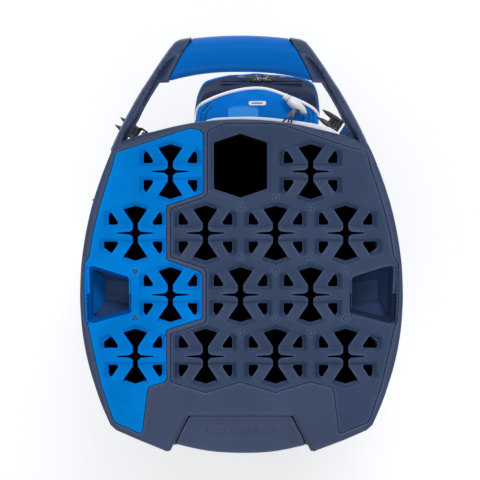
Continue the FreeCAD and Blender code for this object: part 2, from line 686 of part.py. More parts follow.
def zip_pull(label, place, shift, way):
    """Pull with a round cross-pin under the slider's bridge; way is +1 or -1 along the zip."""
    pull = body(label)
    pad(pull, "pin", [circle(0, PULL_PIN_Z, "pin_r")], 6.0, plane="XZ_Plane", both=True)
    pad(pull, "tab", [[(way * x, y) for x, y in PULL_TAB]], "dims.pull_thick",
        at="%g - dims.pull_thick / 2" % PULL_PIN_Z)
    pull.Placement = shifted(place, shift)


def brow_normal(face):
    """Outward normal of a front pocket's uppermost slope."""
    (y0, z0), (y1, z1) = face[:2]
    return (0.0, z1 - z0, y0 - y1)


def front_zips():
    upper = frame((-21.0, -193.7, 721.5), (1, 0, 0), brow_normal(UPPER_FACE))
    zip_track("upper_zip_track", "dims.up_zip", upper)
    for name, way in (("left", 1), ("right", -1)):
        zip_slider("upper_slider_" + name, upper, way * 5.4)
        zip_pull("upper_pull_" + name, upper, way * 5.4, way)
    lower = frame((-17.0, -199.1, 525.0), (1, 0, 0), brow_normal(LOWER_FACE))
    zip_track("lower_zip_track", "dims.low_zip", lower)
    zip_slider("lower_slider", lower, 40.0)
    zip_pull("lower_pull", lower, 40.0, -1)


def side_zips():
    """Upright zips on the facet of each side pocket's outside that crosses y = -76."""
    (x0, y0), (x1, y1) = [(p, q) for p, q in zip(SIDE_OUTER, SIDE_OUTER[1:])
                          if p[1] < -76 <= q[1]][0]
    length = math.hypot(x1 - x0, y1 - y0)
    normal_x, normal_y = (y1 - y0) / length, -(x1 - x0) / length
    x = (x0 + x1) / 2 + 0.5 * normal_x
    y = (y0 + y1) / 2 + 0.5 * normal_y
    for name, side in (("left", 1), ("right", -1)):
        place = frame((side * x, y, 360.0), (0, 0, 1), (side * normal_x, normal_y, 0.0))
        zip_track(name + "_zip_track", "dims.side_zip", place)
        zip_slider(name + "_slider", place, 190.0)
        zip_pull(name + "_pull", place, 190.0, -1)


# ---------------------------------------------------------------- upper pocket's trimmings
TRIM_Z = UPPER_FACE[0][1] + 0.3
# the cord lock's local X is its axis
LOCK = Placement(Vector(-52.7, -170.4, 751.6),
                 Rotation(Vector(0, 0, 1), math.degrees(math.atan2(-0.629, 0.778))))
SPRING_TURNS, SPRING_STEPS = 3.8, 60
SPRING_START, SPRING_LONG, SPRING_R, SPRING_WIRE_R = -8.5, 4.6, 2.3, 0.3


def pocket_piping():
    pad(body("pocket_piping"), "strip", [[
        ("arc", (40.6, -170.0), (-15.5, -186.6), (-71.6, -170.0)),
        ("line", (-71.6, -170.0), (-70.2, -167.2)),
        ("arc", (-70.2, -167.2), (-15.5, -183.4), (39.2, -167.2)),
        ("line", (39.2, -167.2), (40.6, -170.0)),
    ]], 3, at=TRIM_Z)


def glove_tab():
    pad(body("glove_tab"), "plan", [rectangle(11.0, -170.5, -17.5, -152.0)], 2, at=TRIM_Z)


def cord_lock():
    barrel = body("cord_lock_body")
    pad(barrel, "barrel", [circle(0, 0, "lock_r")], 22, at=-13, plane="YZ_Plane")
    cut(barrel, "bore", [circle(0, 0, "button_hole")], 19, at=10, plane="YZ_Plane")
    cut(barrel, "cord_way", [rectangle(-1.9, -1.9, 1.9, 1.9)], 30, plane="XZ_Plane", both=True)
    barrel.Placement = LOCK
    button = body("cord_lock_button")
    pad(button, "stem", [circle(0, 0, "button_r")], 17.4, at=-3.2, plane="YZ_Plane")
    cut(button, "cord_slot", [rectangle(0.4, -1.9, 4.4, 1.9)], 30, plane="XZ_Plane", both=True)
    button.Placement = LOCK


def cord_lock_spring():
    points = []
    for i in range(SPRING_STEPS + 1):
        turn = 2 * math.pi * SPRING_TURNS * i / SPRING_STEPS
        points.append(Vector(SPRING_LONG * i / SPRING_STEPS + SPRING_START,
                             SPRING_R * math.cos(turn), SPRING_R * math.sin(turn)))
    path = Part.BSplineCurve()
    path.interpolate(Points=points)
    section = Part.Circle(Vector(SPRING_START, SPRING_R, 0), Vector(0.08, 0, 1), SPRING_WIRE_R)
    ring = Part.Wire([section.toShape()])
    spring = doc.addObject("Part::Feature", "cord_lock_spring")
    spring.Label = "cord_lock_spring"
    spring.Shape = Part.Wire([path.toShape()]).makePipeShell([ring], True, False)
    spring.Placement = LOCK
    NODES.append(spring)


def draw_cord():
    cord = body("draw_cord")
    pad(cord, "strand", [circle(0, 0, "cord_r")], 18.6, at=-23, plane="XZ_Plane")
    cord.Placement = LOCK


# ---------------------------------------------------------------- quick-release tongues
TONGUE = [
    (-3.8, -8.0), (4.0, -8.0), (6.4, -6.4), (12.0, -6.8), (22.0, -6.4), (30.5, -3.6),
    (24.0, -2.2), (18.0, -1.6), (18.0, 1.6), (24.0, 2.2), (30.5, 3.6), (22.0, 6.4),
    (12.0, 6.8), (6.4, 6.4), (4.0, 8.0), (-3.8, 8.0), (-3.8, 6.2), (2.8, 6.2), (2.8, -6.2),
    (-3.8, -6.2)]
LEFT_WEB = rectangle(-8.6, -5.5, -5.0, 5.5)
RIGHT_WEB = [(-5.3, -5.5), (-5.3, 9.4), (3.0, 9.4), (3.0, 18.2), (-9.5, 16.2), (-13.5, 8.0),
             (-12.0, -5.5)]


def clip(label, place, web):
    """A buckle tongue and the webbing loop round its cross bar."""
    tongue = body(label)
    pad(tongue, "tongue", [TONGUE], "dims.clip_t - 1.8", at="0 - dims.clip_t / 2 + 0.9")
    pad(tongue, "bar", [circle(-2.5, 0.0, "clip_bar")], 15, plane="XZ_Plane", both=True)
    tongue.Placement = place
    loop = body(label + "_loop")
    pad(loop, "loop", [rectangle(-5.9, -3.4, 0.9, 3.4), rectangle(-4.8, -2.3, -0.2, 2.3)], 11,
        plane="XZ_Plane", both=True)
    pad(loop, "web", [web], 1.8, at=-0.9)
    loop.Placement = place


# ---------------------------------------------------------------- towel ring on the left flank
TOWEL_PLACE = Placement(Vector(143.4, 20.0, 700.0), Rotation())


def towel_ring():
    ring = body("towel_ring")
    pad(ring, "bar", [circle(0, 0, "ring_r")], "2 * dims.ring_half", plane="XZ_Plane",
        both=True)
    wire = sketch(ring, "wire", [circle(0, dim("ring_half"), "ring_r")])
    bend = ring.newObject("PartDesign::Revolution", "ring_bend")
    bend.Profile = wire
    bend.ReferenceAxis = (origin_feature(ring, "X_Axis"), "")
    bend.Angle = 180.0
    bend.Reversed = True
    ring.Placement = TOWEL_PLACE


def towel_loop():
    loop = body("towel_loop")
    fold = [(-3.7, -4.0), (2.6, -4.0), (2.6, 3.2), (-1.4, 3.2), (-1.4, 17.0), (-3.7, 17.0)]
    pad(loop, "fold", [fold, rectangle(-1.95, -1.95, 1.95, 1.95)], 18, plane="XZ_Plane",
        both=True)
    loop.Placement = TOWEL_PLACE


# ---------------------------------------------------------------- shoulder strap on the spine
EYE_Y = 160.5
EYE_ZS = (150.0, 600.0)
STRAP_OUT = 6.0  # strap behind the eyes, at its ends
STRAP_SAG = 20.0  # further out at mid height
HALF_SPAN = (EYE_ZS[1] - EYE_ZS[0]) / 2.0
STRAP_R = (HALF_SPAN * HALF_SPAN + STRAP_SAG * STRAP_SAG) / (2.0 * STRAP_SAG)
STRAP_Y = EYE_Y + STRAP_OUT + STRAP_SAG - STRAP_R  # centre of the strap's arc
STRAP_Z = (EYE_ZS[0] + EYE_ZS[1]) / 2.0
STRAP_ANGLE = math.degrees(math.asin(HALF_SPAN / STRAP_R)) + 0.2
ADJUSTER_HALF, ADJUSTER_SIDE = 15.7, 2.8  # half width and side bar width


def arc_band(inner, outer, spread, middle=0.0):
    """Closed band between two offsets from the strap's arc, over middle +- spread degrees."""
    def point(offset, turn):
        angle = math.radians(middle + turn)
        radius = STRAP_R + offset
        return (STRAP_Y + radius * math.cos(angle), STRAP_Z + radius * math.sin(angle))
    return [
        ("arc", point(outer, -spread), point(outer, 0), point(outer, spread)),
        ("line", point(outer, spread), point(inner, spread)),
        ("arc", point(inner, spread), point(inner, 0), point(inner, -spread)),
        ("line", point(inner, -spread), point(outer, -spread))]


def shoulder_strap():
    strap = body("shoulder_strap")
    pad(strap, "webbing", [arc_band(-1.0, 1.0, STRAP_ANGLE)], "dims.strap_w",
        plane="YZ_Plane", both=True)
    for z in EYE_ZS:
        tab = rectangle(-4.0, EYE_Y, 4.0, EYE_Y + STRAP_OUT + 0.6)
        pad(strap, "tab", [tab], 10, at=z - 5.0)
        pad(strap, "eye", [circle(0.0, EYE_Y, "eye_r")], 10, at=z - 5.0)
        cut(strap, "bore", [circle(0.0, EYE_Y, "eye_bore")], 16, at=z + 8.0)


def shoulder_pad():
    pad(body("shoulder_pad"), "foam", [arc_band(-10.5, -1.3, 3.6)], "dims.strap_pad_w",
        plane="YZ_Plane", both=True)


def strap_adjuster():
    adjuster = body("strap_adjuster")
    bars = [arc_band(-3.5, -1.6, 0.45, 7.5), arc_band(1.6, 3.5, 0.45, 7.5)]
    pad(adjuster, "frame", bars, 2 * ADJUSTER_HALF, plane="YZ_Plane", both=True)
    for x in (ADJUSTER_HALF - ADJUSTER_SIDE, -ADJUSTER_HALF):
        pad(adjuster, "side", [arc_band(-3.5, 3.5, 0.45, 7.5)], ADJUSTER_SIDE, at=x,
            plane="YZ_Plane")


def strap_anchors():
    """Two plates behind the spine pad, each with two arms that hold an upright pin."""
    anchors = []
    face = SPINE_Y + 7.8
    for z in EYE_ZS:
        lug = Part.makeBox(30.0, 2.2, 34.0, Vector(-15.0, face, z - 17.0))
        for lift in (-9.0, 5.6):
            arm = Part.makeBox(6.0, EYE_Y - face, 3.4, Vector(-3.0, face, z + lift))
            lug = lug.fuse(arm)
            lug = lug.fuse(Part.makeCylinder(3.0, 3.4, Vector(0.0, EYE_Y, z + lift)))
        pin = Part.makeCylinder(dim("eye_pin"), 18.0, Vector(0.0, EYE_Y, z - 9.0))
        anchors.append(lug.fuse(pin).removeSplitter())
    group("strap_anchors", anchors)


# ---------------------------------------------------------------- build
top_collar()
club_insert("blue_club_insert", BLUE, BLUE_CELLS, BLUE_PEGS, HAND_HOLE, [])
club_insert("navy_club_insert", NAVY, NAVY_CELLS, NAVY_PEGS, mirror(HAND_HOLE),
            [hexagon(PUTTER, 24.0, 29.0, 21.0)])
handle_grip()
rear_grip_panel()
rear_panel_pins()
handhold_cup("left_handhold_cup", CUP)
handhold_cup("right_handhold_cup", mirror(CUP))
rivets("collar_rivets", dim("rivet_z"), RIM, flank_gap=0.7, rear_gap=0.6)
rivets("base_rivets", dim("foot_rivet_z"), tube_run(5.8))
putter_tube()
club_sleeves()
stay_rods()
body_shell()
front_hem()
base_cup()
base_sole()
spine_pad()
front_pocket("upper_pocket", UPPER_FACE, x0=-75.0, x1=44.0, corner=14.0)
front_pocket("lower_pocket", LOWER_FACE, x0=-81.0, x1=47.0, corner=16.0)
side_pocket("left_pocket", 1)
side_pocket("right_pocket", -1)
front_zips()
side_zips()
pocket_piping()
glove_tab()
cord_lock()
cord_lock_spring()
draw_cord()
clip("left_clip", frame((94.0, -138.0, 788.0), (0.823, -0.568, 0.0), (0, 0, 1)), LEFT_WEB)
clip("right_clip", frame((-96.5, -145.5, 788.0), (0.827, -0.562, 0.0), (0, 0, 1)), RIGHT_WEB)
towel_ring()
towel_loop()
shoulder_strap()
shoulder_pad()
strap_adjuster()
strap_anchors()

# ---------------------------------------------------------------- checks and export
doc.recompute()
bad = [o.Name for o in doc.Objects if "Invalid" in o.State or "Error" in o.State]
for node in NODES:
    shape = node.Shape
    if shape.isNull() or not shape.isValid() or not shape.Solids or shape.Volume <= 0:
        bad.append(node.Label + " shape")
if len({node.Label for node in NODES}) != len(NODES):
    bad.append("labels repeat")
if bad:
    raise SystemExit("failed: %s" % sorted(set(bad)))
os.makedirs("parts", exist_ok=True)
for old in os.listdir("parts"):
    if old.endswith(".step"):
        os.remove(os.path.join("parts", old))
for node in NODES:
    node.Shape.exportStep(os.path.join("parts", node.Label + ".step"))
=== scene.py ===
# Golf cart bag standing upright on z = 0. The carry handle and front pockets face -Y, the spine
# pad and shoulder strap face +Y, and the blue half of the club inserts ("left") is at +X.
# Lengths are in millimetres until a mesh is made; lights are placed in metres.
import math

import bmesh
import bpy
import numpy as np
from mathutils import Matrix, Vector
from mathutils.bvhtree import BVHTree
from mathutils.geometry import delaunay_2d_cdt
from mathutils.kdtree import KDTree


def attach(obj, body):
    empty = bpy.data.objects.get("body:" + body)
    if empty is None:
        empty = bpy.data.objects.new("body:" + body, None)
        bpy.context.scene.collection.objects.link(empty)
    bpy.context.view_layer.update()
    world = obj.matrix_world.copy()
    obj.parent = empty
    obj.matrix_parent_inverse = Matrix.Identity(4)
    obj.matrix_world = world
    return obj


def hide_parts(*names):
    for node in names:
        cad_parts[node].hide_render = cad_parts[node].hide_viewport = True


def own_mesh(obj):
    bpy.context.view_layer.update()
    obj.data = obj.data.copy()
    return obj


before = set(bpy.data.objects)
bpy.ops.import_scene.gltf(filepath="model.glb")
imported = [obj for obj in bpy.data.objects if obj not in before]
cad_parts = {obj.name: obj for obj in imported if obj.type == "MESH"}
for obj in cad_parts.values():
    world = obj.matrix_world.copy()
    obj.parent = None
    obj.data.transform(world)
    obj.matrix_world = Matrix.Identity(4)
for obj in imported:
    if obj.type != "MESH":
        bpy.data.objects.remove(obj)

MM = 0.001
SCENE = bpy.context.scene
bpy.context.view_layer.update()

TOP, DECK = 880.0, 868.0                    # upper face of the collar, deck under the inserts
PLATE_TOP = 876.6                           # rear plate
EYE_X, EYE_Y, EYE_Z = 0.45, -41.0, 2880.0   # camera, looking straight down
VIEW_WIDTH = 432.0                          # width seen at the height of TOP


# ------------------------------------------------------------------ plan helpers
def mirror(points):
    return [(-p[0], p[1]) for p in points]


def unit(value):
    """Limits to 0..1."""
    return np.clip(value, 0, 1)


def bell(value, centre, width):
    return np.exp(-((value - centre) / width) ** 2)


def circle(count):
    """Evenly spaced angles round a full turn."""
    return np.linspace(0, 2 * math.pi, count, endpoint=False)


def even(points, count, closed=False):
    """Points at equal spacing along a polyline."""
    points = np.array(points, float)
    steps = np.linalg.norm(np.diff(points, axis=0), axis=1)
    length = np.concatenate([[0], np.cumsum(steps)])
    at = np.linspace(0, length[-1], count + 1 if closed else count)
    out = np.stack([np.interp(at, length, column) for column in points.T], 1)
    return out[:-1] if closed else out


def even_loop(loop, count):
    return even(np.vstack([loop, loop[:1]]), count, True)


def smooth_run(points, count, closed=False):
    """Evenly spaced points along the interpolating cubic through the given ones."""
    per_span = 24
    knots = np.array(points, float)
    if closed:
        knots = np.vstack([knots, knots[:1]])
    gap = np.linalg.norm(np.diff(knots, axis=0), axis=1)
    slope = np.diff(knots, axis=0) / gap[:, None]
    last = len(knots) - 1
    system = np.zeros((last + 1, last + 1))
    right = np.zeros(knots.shape)
    for i in range(1, last):
        system[i, i - 1:i + 2] = gap[i - 1], 2 * (gap[i - 1] + gap[i]), gap[i]
        right[i] = 6 * (slope[i] - slope[i - 1])
    if closed:
        system[0, 0], system[0, last] = 1, -1
        system[last, last - 1] = gap[-1]
        system[last, 0], system[last, 1] = 2 * (gap[-1] + gap[0]), gap[0]
        right[last] = 6 * (slope[0] - slope[-1])
    else:
        system[0, 0] = system[last, last] = 1
    bend = np.linalg.solve(system, right)
    out = []
    for i in range(last):
        h = gap[i]
        t = np.linspace(0, h, per_span, endpoint=False)[:, None]
        out.append(bend[i] * (h - t) ** 3 / (6 * h) + bend[i + 1] * t ** 3 / (6 * h)
                   + (knots[i] / h - bend[i] * h / 6) * (h - t)
                   + (knots[i + 1] / h - bend[i + 1] * h / 6) * t)
    return even(np.vstack(out + [knots[-1:]]), count, closed)


def grow(points, distance):
    """Offsets a closed polygon outwards (inwards if negative)."""
    here = np.array(points, float)
    after = np.roll(here, -1, 0)
    area = (here[:, 0] * after[:, 1] - after[:, 0] * here[:, 1]).sum()
    sign = 1.0 if area > 0 else -1.0
    came = here - np.roll(here, 1, 0)
    goes = after - here
    came /= np.linalg.norm(came, axis=1)[:, None]
    goes /= np.linalg.norm(goes, axis=1)[:, None]
    normal_in = np.stack([came[:, 1], -came[:, 0]], 1) * sign
    normal_out = np.stack([goes[:, 1], -goes[:, 0]], 1) * sign
    scale = 1.0 + (normal_in * normal_out).sum(1)
    return here + distance * (normal_in + normal_out) / np.maximum(scale, 0.3)[:, None]


def rounded(points, radius, seg=5):
    """Rounds every corner of a closed polygon where its sides leave room."""
    points = [np.array(p, float) for p in points]
    count = len(points)
    radii = radius if isinstance(radius, (list, tuple)) else [radius] * count
    out = []
    for i in range(count):
        corner = points[i]
        back, ahead = points[i - 1] - corner, points[(i + 1) % count] - corner
        back_len, ahead_len = np.linalg.norm(back), np.linalg.norm(ahead)
        back, ahead = back / back_len, ahead / ahead_len
        angle = math.acos(max(-1, min(1, float(back @ ahead))))
        if angle > math.radians(172) or radii[i] <= 0:
            out.append(corner)
            continue
        cut = min(radii[i] / math.tan(angle / 2), 0.46 * back_len, 0.46 * ahead_len)
        for k in range(seg + 1):
            t = k / seg
            out.append((1 - t) ** 2 * (corner + back * cut) + 2 * t * (1 - t) * corner
                       + t ** 2 * (corner + ahead * cut))
    return np.array(out)


def resample(loop, step):
    """Adds points to a closed polygon until no side is longer than step; corners stay."""
    out = []
    loop = np.array(loop, float)
    for a, b in zip(loop, np.roll(loop, -1, 0)):
        pieces = max(1, int(math.ceil(np.linalg.norm(b - a) / step)))
        for i in range(pieces):
            out.append(a + (b - a) * i / pieces)
    out = np.array(out)
    return out[np.linalg.norm(out - np.roll(out, 1, 0), axis=1) > 0.02]


def dots(points, step=0.4):
    """Fine samples along an open polyline."""
    out = []
    for a, b in zip(points[:-1], points[1:]):
        a, b = np.array(a, float), np.array(b, float)
        pieces = max(1, int(np.linalg.norm(b - a) / step))
        out += [a + (b - a) * i / pieces for i in range(pieces)]
    out.append(np.array(points[-1], float))
    return np.array(out)


def side_normals(loop):
    """Unit normals on the right of travel, so outwards for a counter-clockwise loop."""
    along = np.roll(loop, -1, 0) - np.roll(loop, 1, 0)
    along /= np.maximum(np.linalg.norm(along, axis=1), 1e-9)[:, None]
    return np.stack([along[:, 1], -along[:, 0]], 1)


def inside(loops, points):
    """Even-odd test of points against closed loops."""
    batch = 6000
    result = np.zeros(len(points), bool)
    for loop in loops:
        a = np.array(loop, float)
        b = np.roll(a, -1, 0)
        low, high = a.min(0), a.max(0)
        index = np.nonzero(((points >= low) & (points <= high)).all(1))[0]
        rise = b[:, 1] - a[:, 1]
        rise = np.where(np.abs(rise) < 1e-12, 1e-12, rise)
        for start in range(0, len(index), batch):
            chosen = index[start:start + batch]
            x, y = points[chosen, 0][:, None], points[chosen, 1][:, None]
            crosses = (a[:, 1] > y) != (b[:, 1] > y)
            cross_x = (b[:, 0] - a[:, 0]) * (y - a[:, 1]) / rise + a[:, 0]
            result[chosen] ^= (crosses & (x < cross_x)).sum(1) % 2 == 1
    return result


def nearest(samples, points):
    """Distance to, and index of, the closest plan sample for every point."""
    tree = KDTree(len(samples))
    for i, s in enumerate(samples):
        tree.insert((s[0], s[1], 0.0), i)
    tree.balance()
    distance = np.empty(len(points))
    index = np.empty(len(points), int)
    for i, p in enumerate(points):
        _, index[i], distance[i] = tree.find((p[0], p[1], 0.0))
    return distance, index


# ------------------------------------------------------------------ part builders
# A part is (verts, faces) or (verts, faces, edge), edge being 1 at an opening's or rim's edge.
def at_height(plan, z):
    return np.column_stack([plan, np.full(len(plan), z)])


def flat(z):
    """Level upper face for a slab."""
    return lambda pts, dist, loop: np.full(len(pts), float(z))


def slab(loops, top, low, step=1.6, bstep=0.9):
    """Closed plate with rounded upper edges. loops: [(points, edge radius)], even-odd.
    top(pts, dist, loop): upper height before edge rounding, from plan points, their distance to
    the nearest loop and its index. low: a number or a function of the plan points."""
    runs = [resample(loop, bstep) for loop, _ in loops]
    radii = [r for _, r in loops]
    fine_runs = [resample(run, 0.3) for run in runs]
    fine = np.vstack(fine_runs)
    owner = np.repeat(np.arange(len(runs)), [len(run) for run in fine_runs])
    # rows of points that follow each rounded edge
    rows = []
    for run, r in zip(runs, radii):
        normal = side_normals(run)
        for part in (0.134, 0.5, 1.0):
            for sign in (1, -1):
                row = run + normal * sign * part * r
                row = row[inside(runs, row)]
                rows.append(row[nearest(fine, row)[0] > 0.93 * part * r])
    border = np.vstack(runs)
    lo, hi = border.min(0), border.max(0)
    gx, gy = np.meshgrid(np.arange(lo[0], hi[0] + step, step),
                         np.arange(lo[1], hi[1] + step, step * 0.866))
    gx[1::2] += step / 2
    grid = np.stack([gx.ravel(), gy.ravel()], 1)
    grid = grid[inside(runs, grid)]
    dist, near = nearest(fine, grid)
    grid = grid[dist > np.array(radii)[owner[near]] + 0.35 * step]
    points = np.vstack([border] + rows + [grid])
    edges = []
    start = 0
    for run in runs:
        count = len(run)
        edges += [(start + i, start + (i + 1) % count) for i in range(count)]
        start += count
    result = delaunay_2d_cdt([Vector(p) for p in points], edges, [], 0, 1e-6)
    pts = np.array([(v[0], v[1]) for v in result[0]])
    tris = np.array([f for f in result[2] if len(f) == 3])
    tris = tris[inside(runs, pts[tris].mean(1))]
    used = np.unique(tris)
    remap = -np.ones(len(pts), int)
    remap[used] = np.arange(len(used))
    pts, tris = pts[used], remap[tris]
    # counter-clockwise so that the upper face looks up
    a, b, c = pts[tris[:, 0]], pts[tris[:, 1]], pts[tris[:, 2]]
    turn = ((b[:, 0] - a[:, 0]) * (c[:, 1] - a[:, 1]) - (b[:, 1] - a[:, 1]) * (c[:, 0] - a[:, 0]))
    tris[turn < 0] = tris[turn < 0][:, ::-1]
    dist, near = nearest(fine, pts)
    loop = owner[near]
    sides = {}
    for f in tris:
        for side in ((f[0], f[1]), (f[1], f[2]), (f[2], f[0])):
            sides[side] = 1
    rim = [side for side in sides if (side[1], side[0]) not in sides]
    dist[np.unique(rim)] = 0.0
    radius = np.array(radii)[loop]
    depth = np.minimum(dist, radius)
    drop = radius - np.sqrt(np.maximum(radius * radius - (radius - depth) ** 2, 0))
    upper = top(pts, dist, loop) - drop
    lower = low(pts) if callable(low) else np.full(len(pts), float(low))
    count = len(pts)
    verts = [(p[0], p[1], z) for z_values in (upper, lower) for p, z in zip(pts, z_values)]
    # edge values: 1 at an opening or rim, they place the painted edge highlight of the plastics
    edge = list(np.exp(-dist / 0.7)) + [0.0] * count
    faces = [tuple(int(i) for i in f) for f in tris]
    faces += [(f[2] + count, f[1] + count, f[0] + count) for f in faces]
    for a, b in rim:
        faces.append((int(b), int(a), int(a) + count, int(b) + count))
    return verts, faces, edge


def loft(rings, caps=True):
    """Quads between successive closed rings; the ends are closed by fans."""
    verts = [tuple(p) for ring in rings for p in ring]
    faces = []
    size = len(rings[0])
    for i in range(len(rings) - 1):
        a, b = i * size, (i + 1) * size
        for j in range(size):
            k = (j + 1) % size
            faces.append((a + j, a + k, b + k, b + j))
    if caps:
        for base, flip in ((0, True), ((len(rings) - 1) * size, False)):
            verts.append(tuple(np.mean(np.array(verts[base:base + size]), axis=0)))
            hub = len(verts) - 1
            for j in range(size):
                face = (base + j, base + (j + 1) % size, hub)
                faces.append(face[::-1] if flip else face)
    return verts, faces


def wrap(rings, flip=False):
    """Quads between rings, the last joined back to the first."""
    verts = [tuple(p) for ring in rings for p in ring]
    faces = []
    size, count = len(rings[0]), len(rings)
    for i in range(count):
        a, b = i * size, (i + 1) % count * size
        for j in range(size):
            k = (j + 1) % size
            if flip:
                faces.append((a + j, b + j, b + k, a + k))
            else:
                faces.append((a + j, a + k, b + k, b + j))
    return verts, faces


def tube(path, radius, seg=10, closed=False):
    """Round cord along a 3-D path."""
    path = np.array(path, float)
    along = np.roll(path, -1, 0) - np.roll(path, 1, 0) if closed else np.gradient(path, axis=0)
    along /= np.maximum(np.linalg.norm(along, axis=1), 1e-9)[:, None]
    up = np.array([0.0, 0.0, 1.0]) if abs(along[0][2]) < 0.9 else np.array([1.0, 0.0, 0.0])
    normal = np.cross(along[0], up)
    normal /= np.linalg.norm(normal)
    rings = []
    for point, way in zip(path, along):
        normal = normal - way * (normal @ way)
        normal /= max(np.linalg.norm(normal), 1e-9)
        side = np.cross(way, normal)
        rings.append([point + radius * (math.cos(a) * normal + math.sin(a) * side)
                      for a in circle(seg)])
    return wrap(rings) if closed else loft(rings)


def lathe(profile, seg=40):
    """Turned shape about local X from (x, radius) points."""
    return flipped(loft([[(x, r * math.cos(a), r * math.sin(a)) for a in circle(seg)]
                         for x, r in profile]))


def block(x0, x1, y0, y1, z0, z1, edge=0.5, corner=None):
    """Small block with rounded edges all round; corner is its radius in plan."""
    plan = rounded([(x0, y0), (x1, y0), (x1, y1), (x0, y1)],
                   corner if corner is not None else edge * 1.6, 4)
    centre = np.array([(x0 + x1) / 2, (y0 + y1) / 2])
    rings = []
    for z, inset in ((z0, edge), (z0 + 0.3 * edge, 0.35 * edge), (z0 + edge, 0.0),
                     (z1 - edge, 0.0), (z1 - 0.3 * edge, 0.35 * edge), (z1, edge)):
        scale = [1 - 2 * inset / (x1 - x0), 1 - 2 * inset / (y1 - y0)]
        rings.append(at_height(centre + (plan - centre) * scale, z))
    return loft(rings)


def flipped(part):
    return (part[0], [tuple(reversed(f)) for f in part[1]]) + tuple(part[2:])


def join(parts):
    """Merges parts into one that has edge values."""
    verts, faces, edge = [], [], []
    for part in parts:
        start = len(verts)
        verts.extend([tuple(v) for v in part[0]])
        faces.extend([tuple(i + start for i in f) for f in part[1]])
        edge.extend(list(part[2]) if len(part) > 2 else [0.0] * len(part[0]))
    return verts, faces, edge


def merge(parts):
    return join(parts)[:2]


def place(part, matrix):
    """Applies a 4x4 frame."""
    verts = np.array(part[0], float) @ matrix[:3, :3].T + matrix[:3, 3]
    return verts.tolist(), part[1]


def axes(origin, x_axis, z_axis):
    x_axis = np.array(x_axis, float) / np.linalg.norm(x_axis)
    z_axis = np.array(z_axis, float) / np.linalg.norm(z_axis)
    matrix = np.eye(4)
    matrix[:3, 0], matrix[:3, 1] = x_axis, np.cross(z_axis, x_axis)
    matrix[:3, 2], matrix[:3, 3] = z_axis, origin
    return matrix


# ------------------------------------------------------------------ mesh objects
def settle(ob, body, replaces=None):
    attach(ob, body)
    if replaces:
        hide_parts(replaces)


def put_attr(ob, key, values):
    layers = ob.data.attributes
    layer = layers.get(key) or layers.new(key, "FLOAT", "POINT")
    layer.data.foreach_set("value", np.asarray(values, np.float32))


def make(name, part, material, replaces=None, sharp=60, body="bag"):
    """A smooth-shaded object that rides on a body; edges over sharp degrees stay hard."""
    mesh = bpy.data.meshes.new(name)
    mesh.from_pydata([tuple(c * MM for c in v) for v in part[0]], [], part[1])
    mesh.validate(clean_customdata=False)
    mesh.update()
    ob = bpy.data.objects.new(name, mesh)
    SCENE.collection.objects.link(ob)
    if len(part) > 2:
        put_attr(ob, "edge", part[2])
    mesh.polygons.foreach_set("use_smooth", [True] * len(mesh.polygons))
    mesh.set_sharp_from_angle(angle=math.radians(sharp))
    mesh.update()
    mesh.materials.append(material)
    if body:
        settle(ob, body, replaces)
    return ob


def coords(ob):
    co = np.empty(len(ob.data.vertices) * 3)
    ob.data.vertices.foreach_get("co", co)
    return co.reshape(-1, 3) / MM


def set_coords(ob, co):
    ob.data.vertices.foreach_set("co", (np.asarray(co) * MM).ravel())
    ob.data.update()


def normals(ob):
    out = np.empty(len(ob.data.vertices) * 3)
    ob.data.vertices.foreach_get("normal", out)
    return out.reshape(-1, 3)


def weave_attrs(ob, mode="round"):
    """Thread coordinates wu and wv in metres: round the bag, or straight in the xy or xz plane."""
    co, normal = coords(ob) * MM, normals(ob)
    if mode == "round":
        level = np.abs(normal[:, 2]) > 0.72
        u = np.where(level, co[:, 0], np.arctan2(co[:, 0], -co[:, 1]) * 0.15)
        v = np.where(level, co[:, 1], co[:, 2])
    else:
        u, v = co[:, 0], co[:, "xyz".index(mode[1])]
    put_attr(ob, "wu", u)
    put_attr(ob, "wv", v)


def cloth(name, part, material, replaces=None, sharp=60, body="bag", mode="round"):
    """A made object with thread coordinates and no edge values."""
    weave_attrs(make(name, part[:2], material, replaces, sharp, body), mode)


# ------------------------------------------------------------------ materials
def srgb(r, g, b):
    """Linear colour from 0..255 values."""
    values = [c / 255 for c in (r, g, b)]
    return tuple(c / 12.92 if c <= 0.04045 else ((c + 0.055) / 1.055) ** 2.4
                 for c in values) + (1.0,)


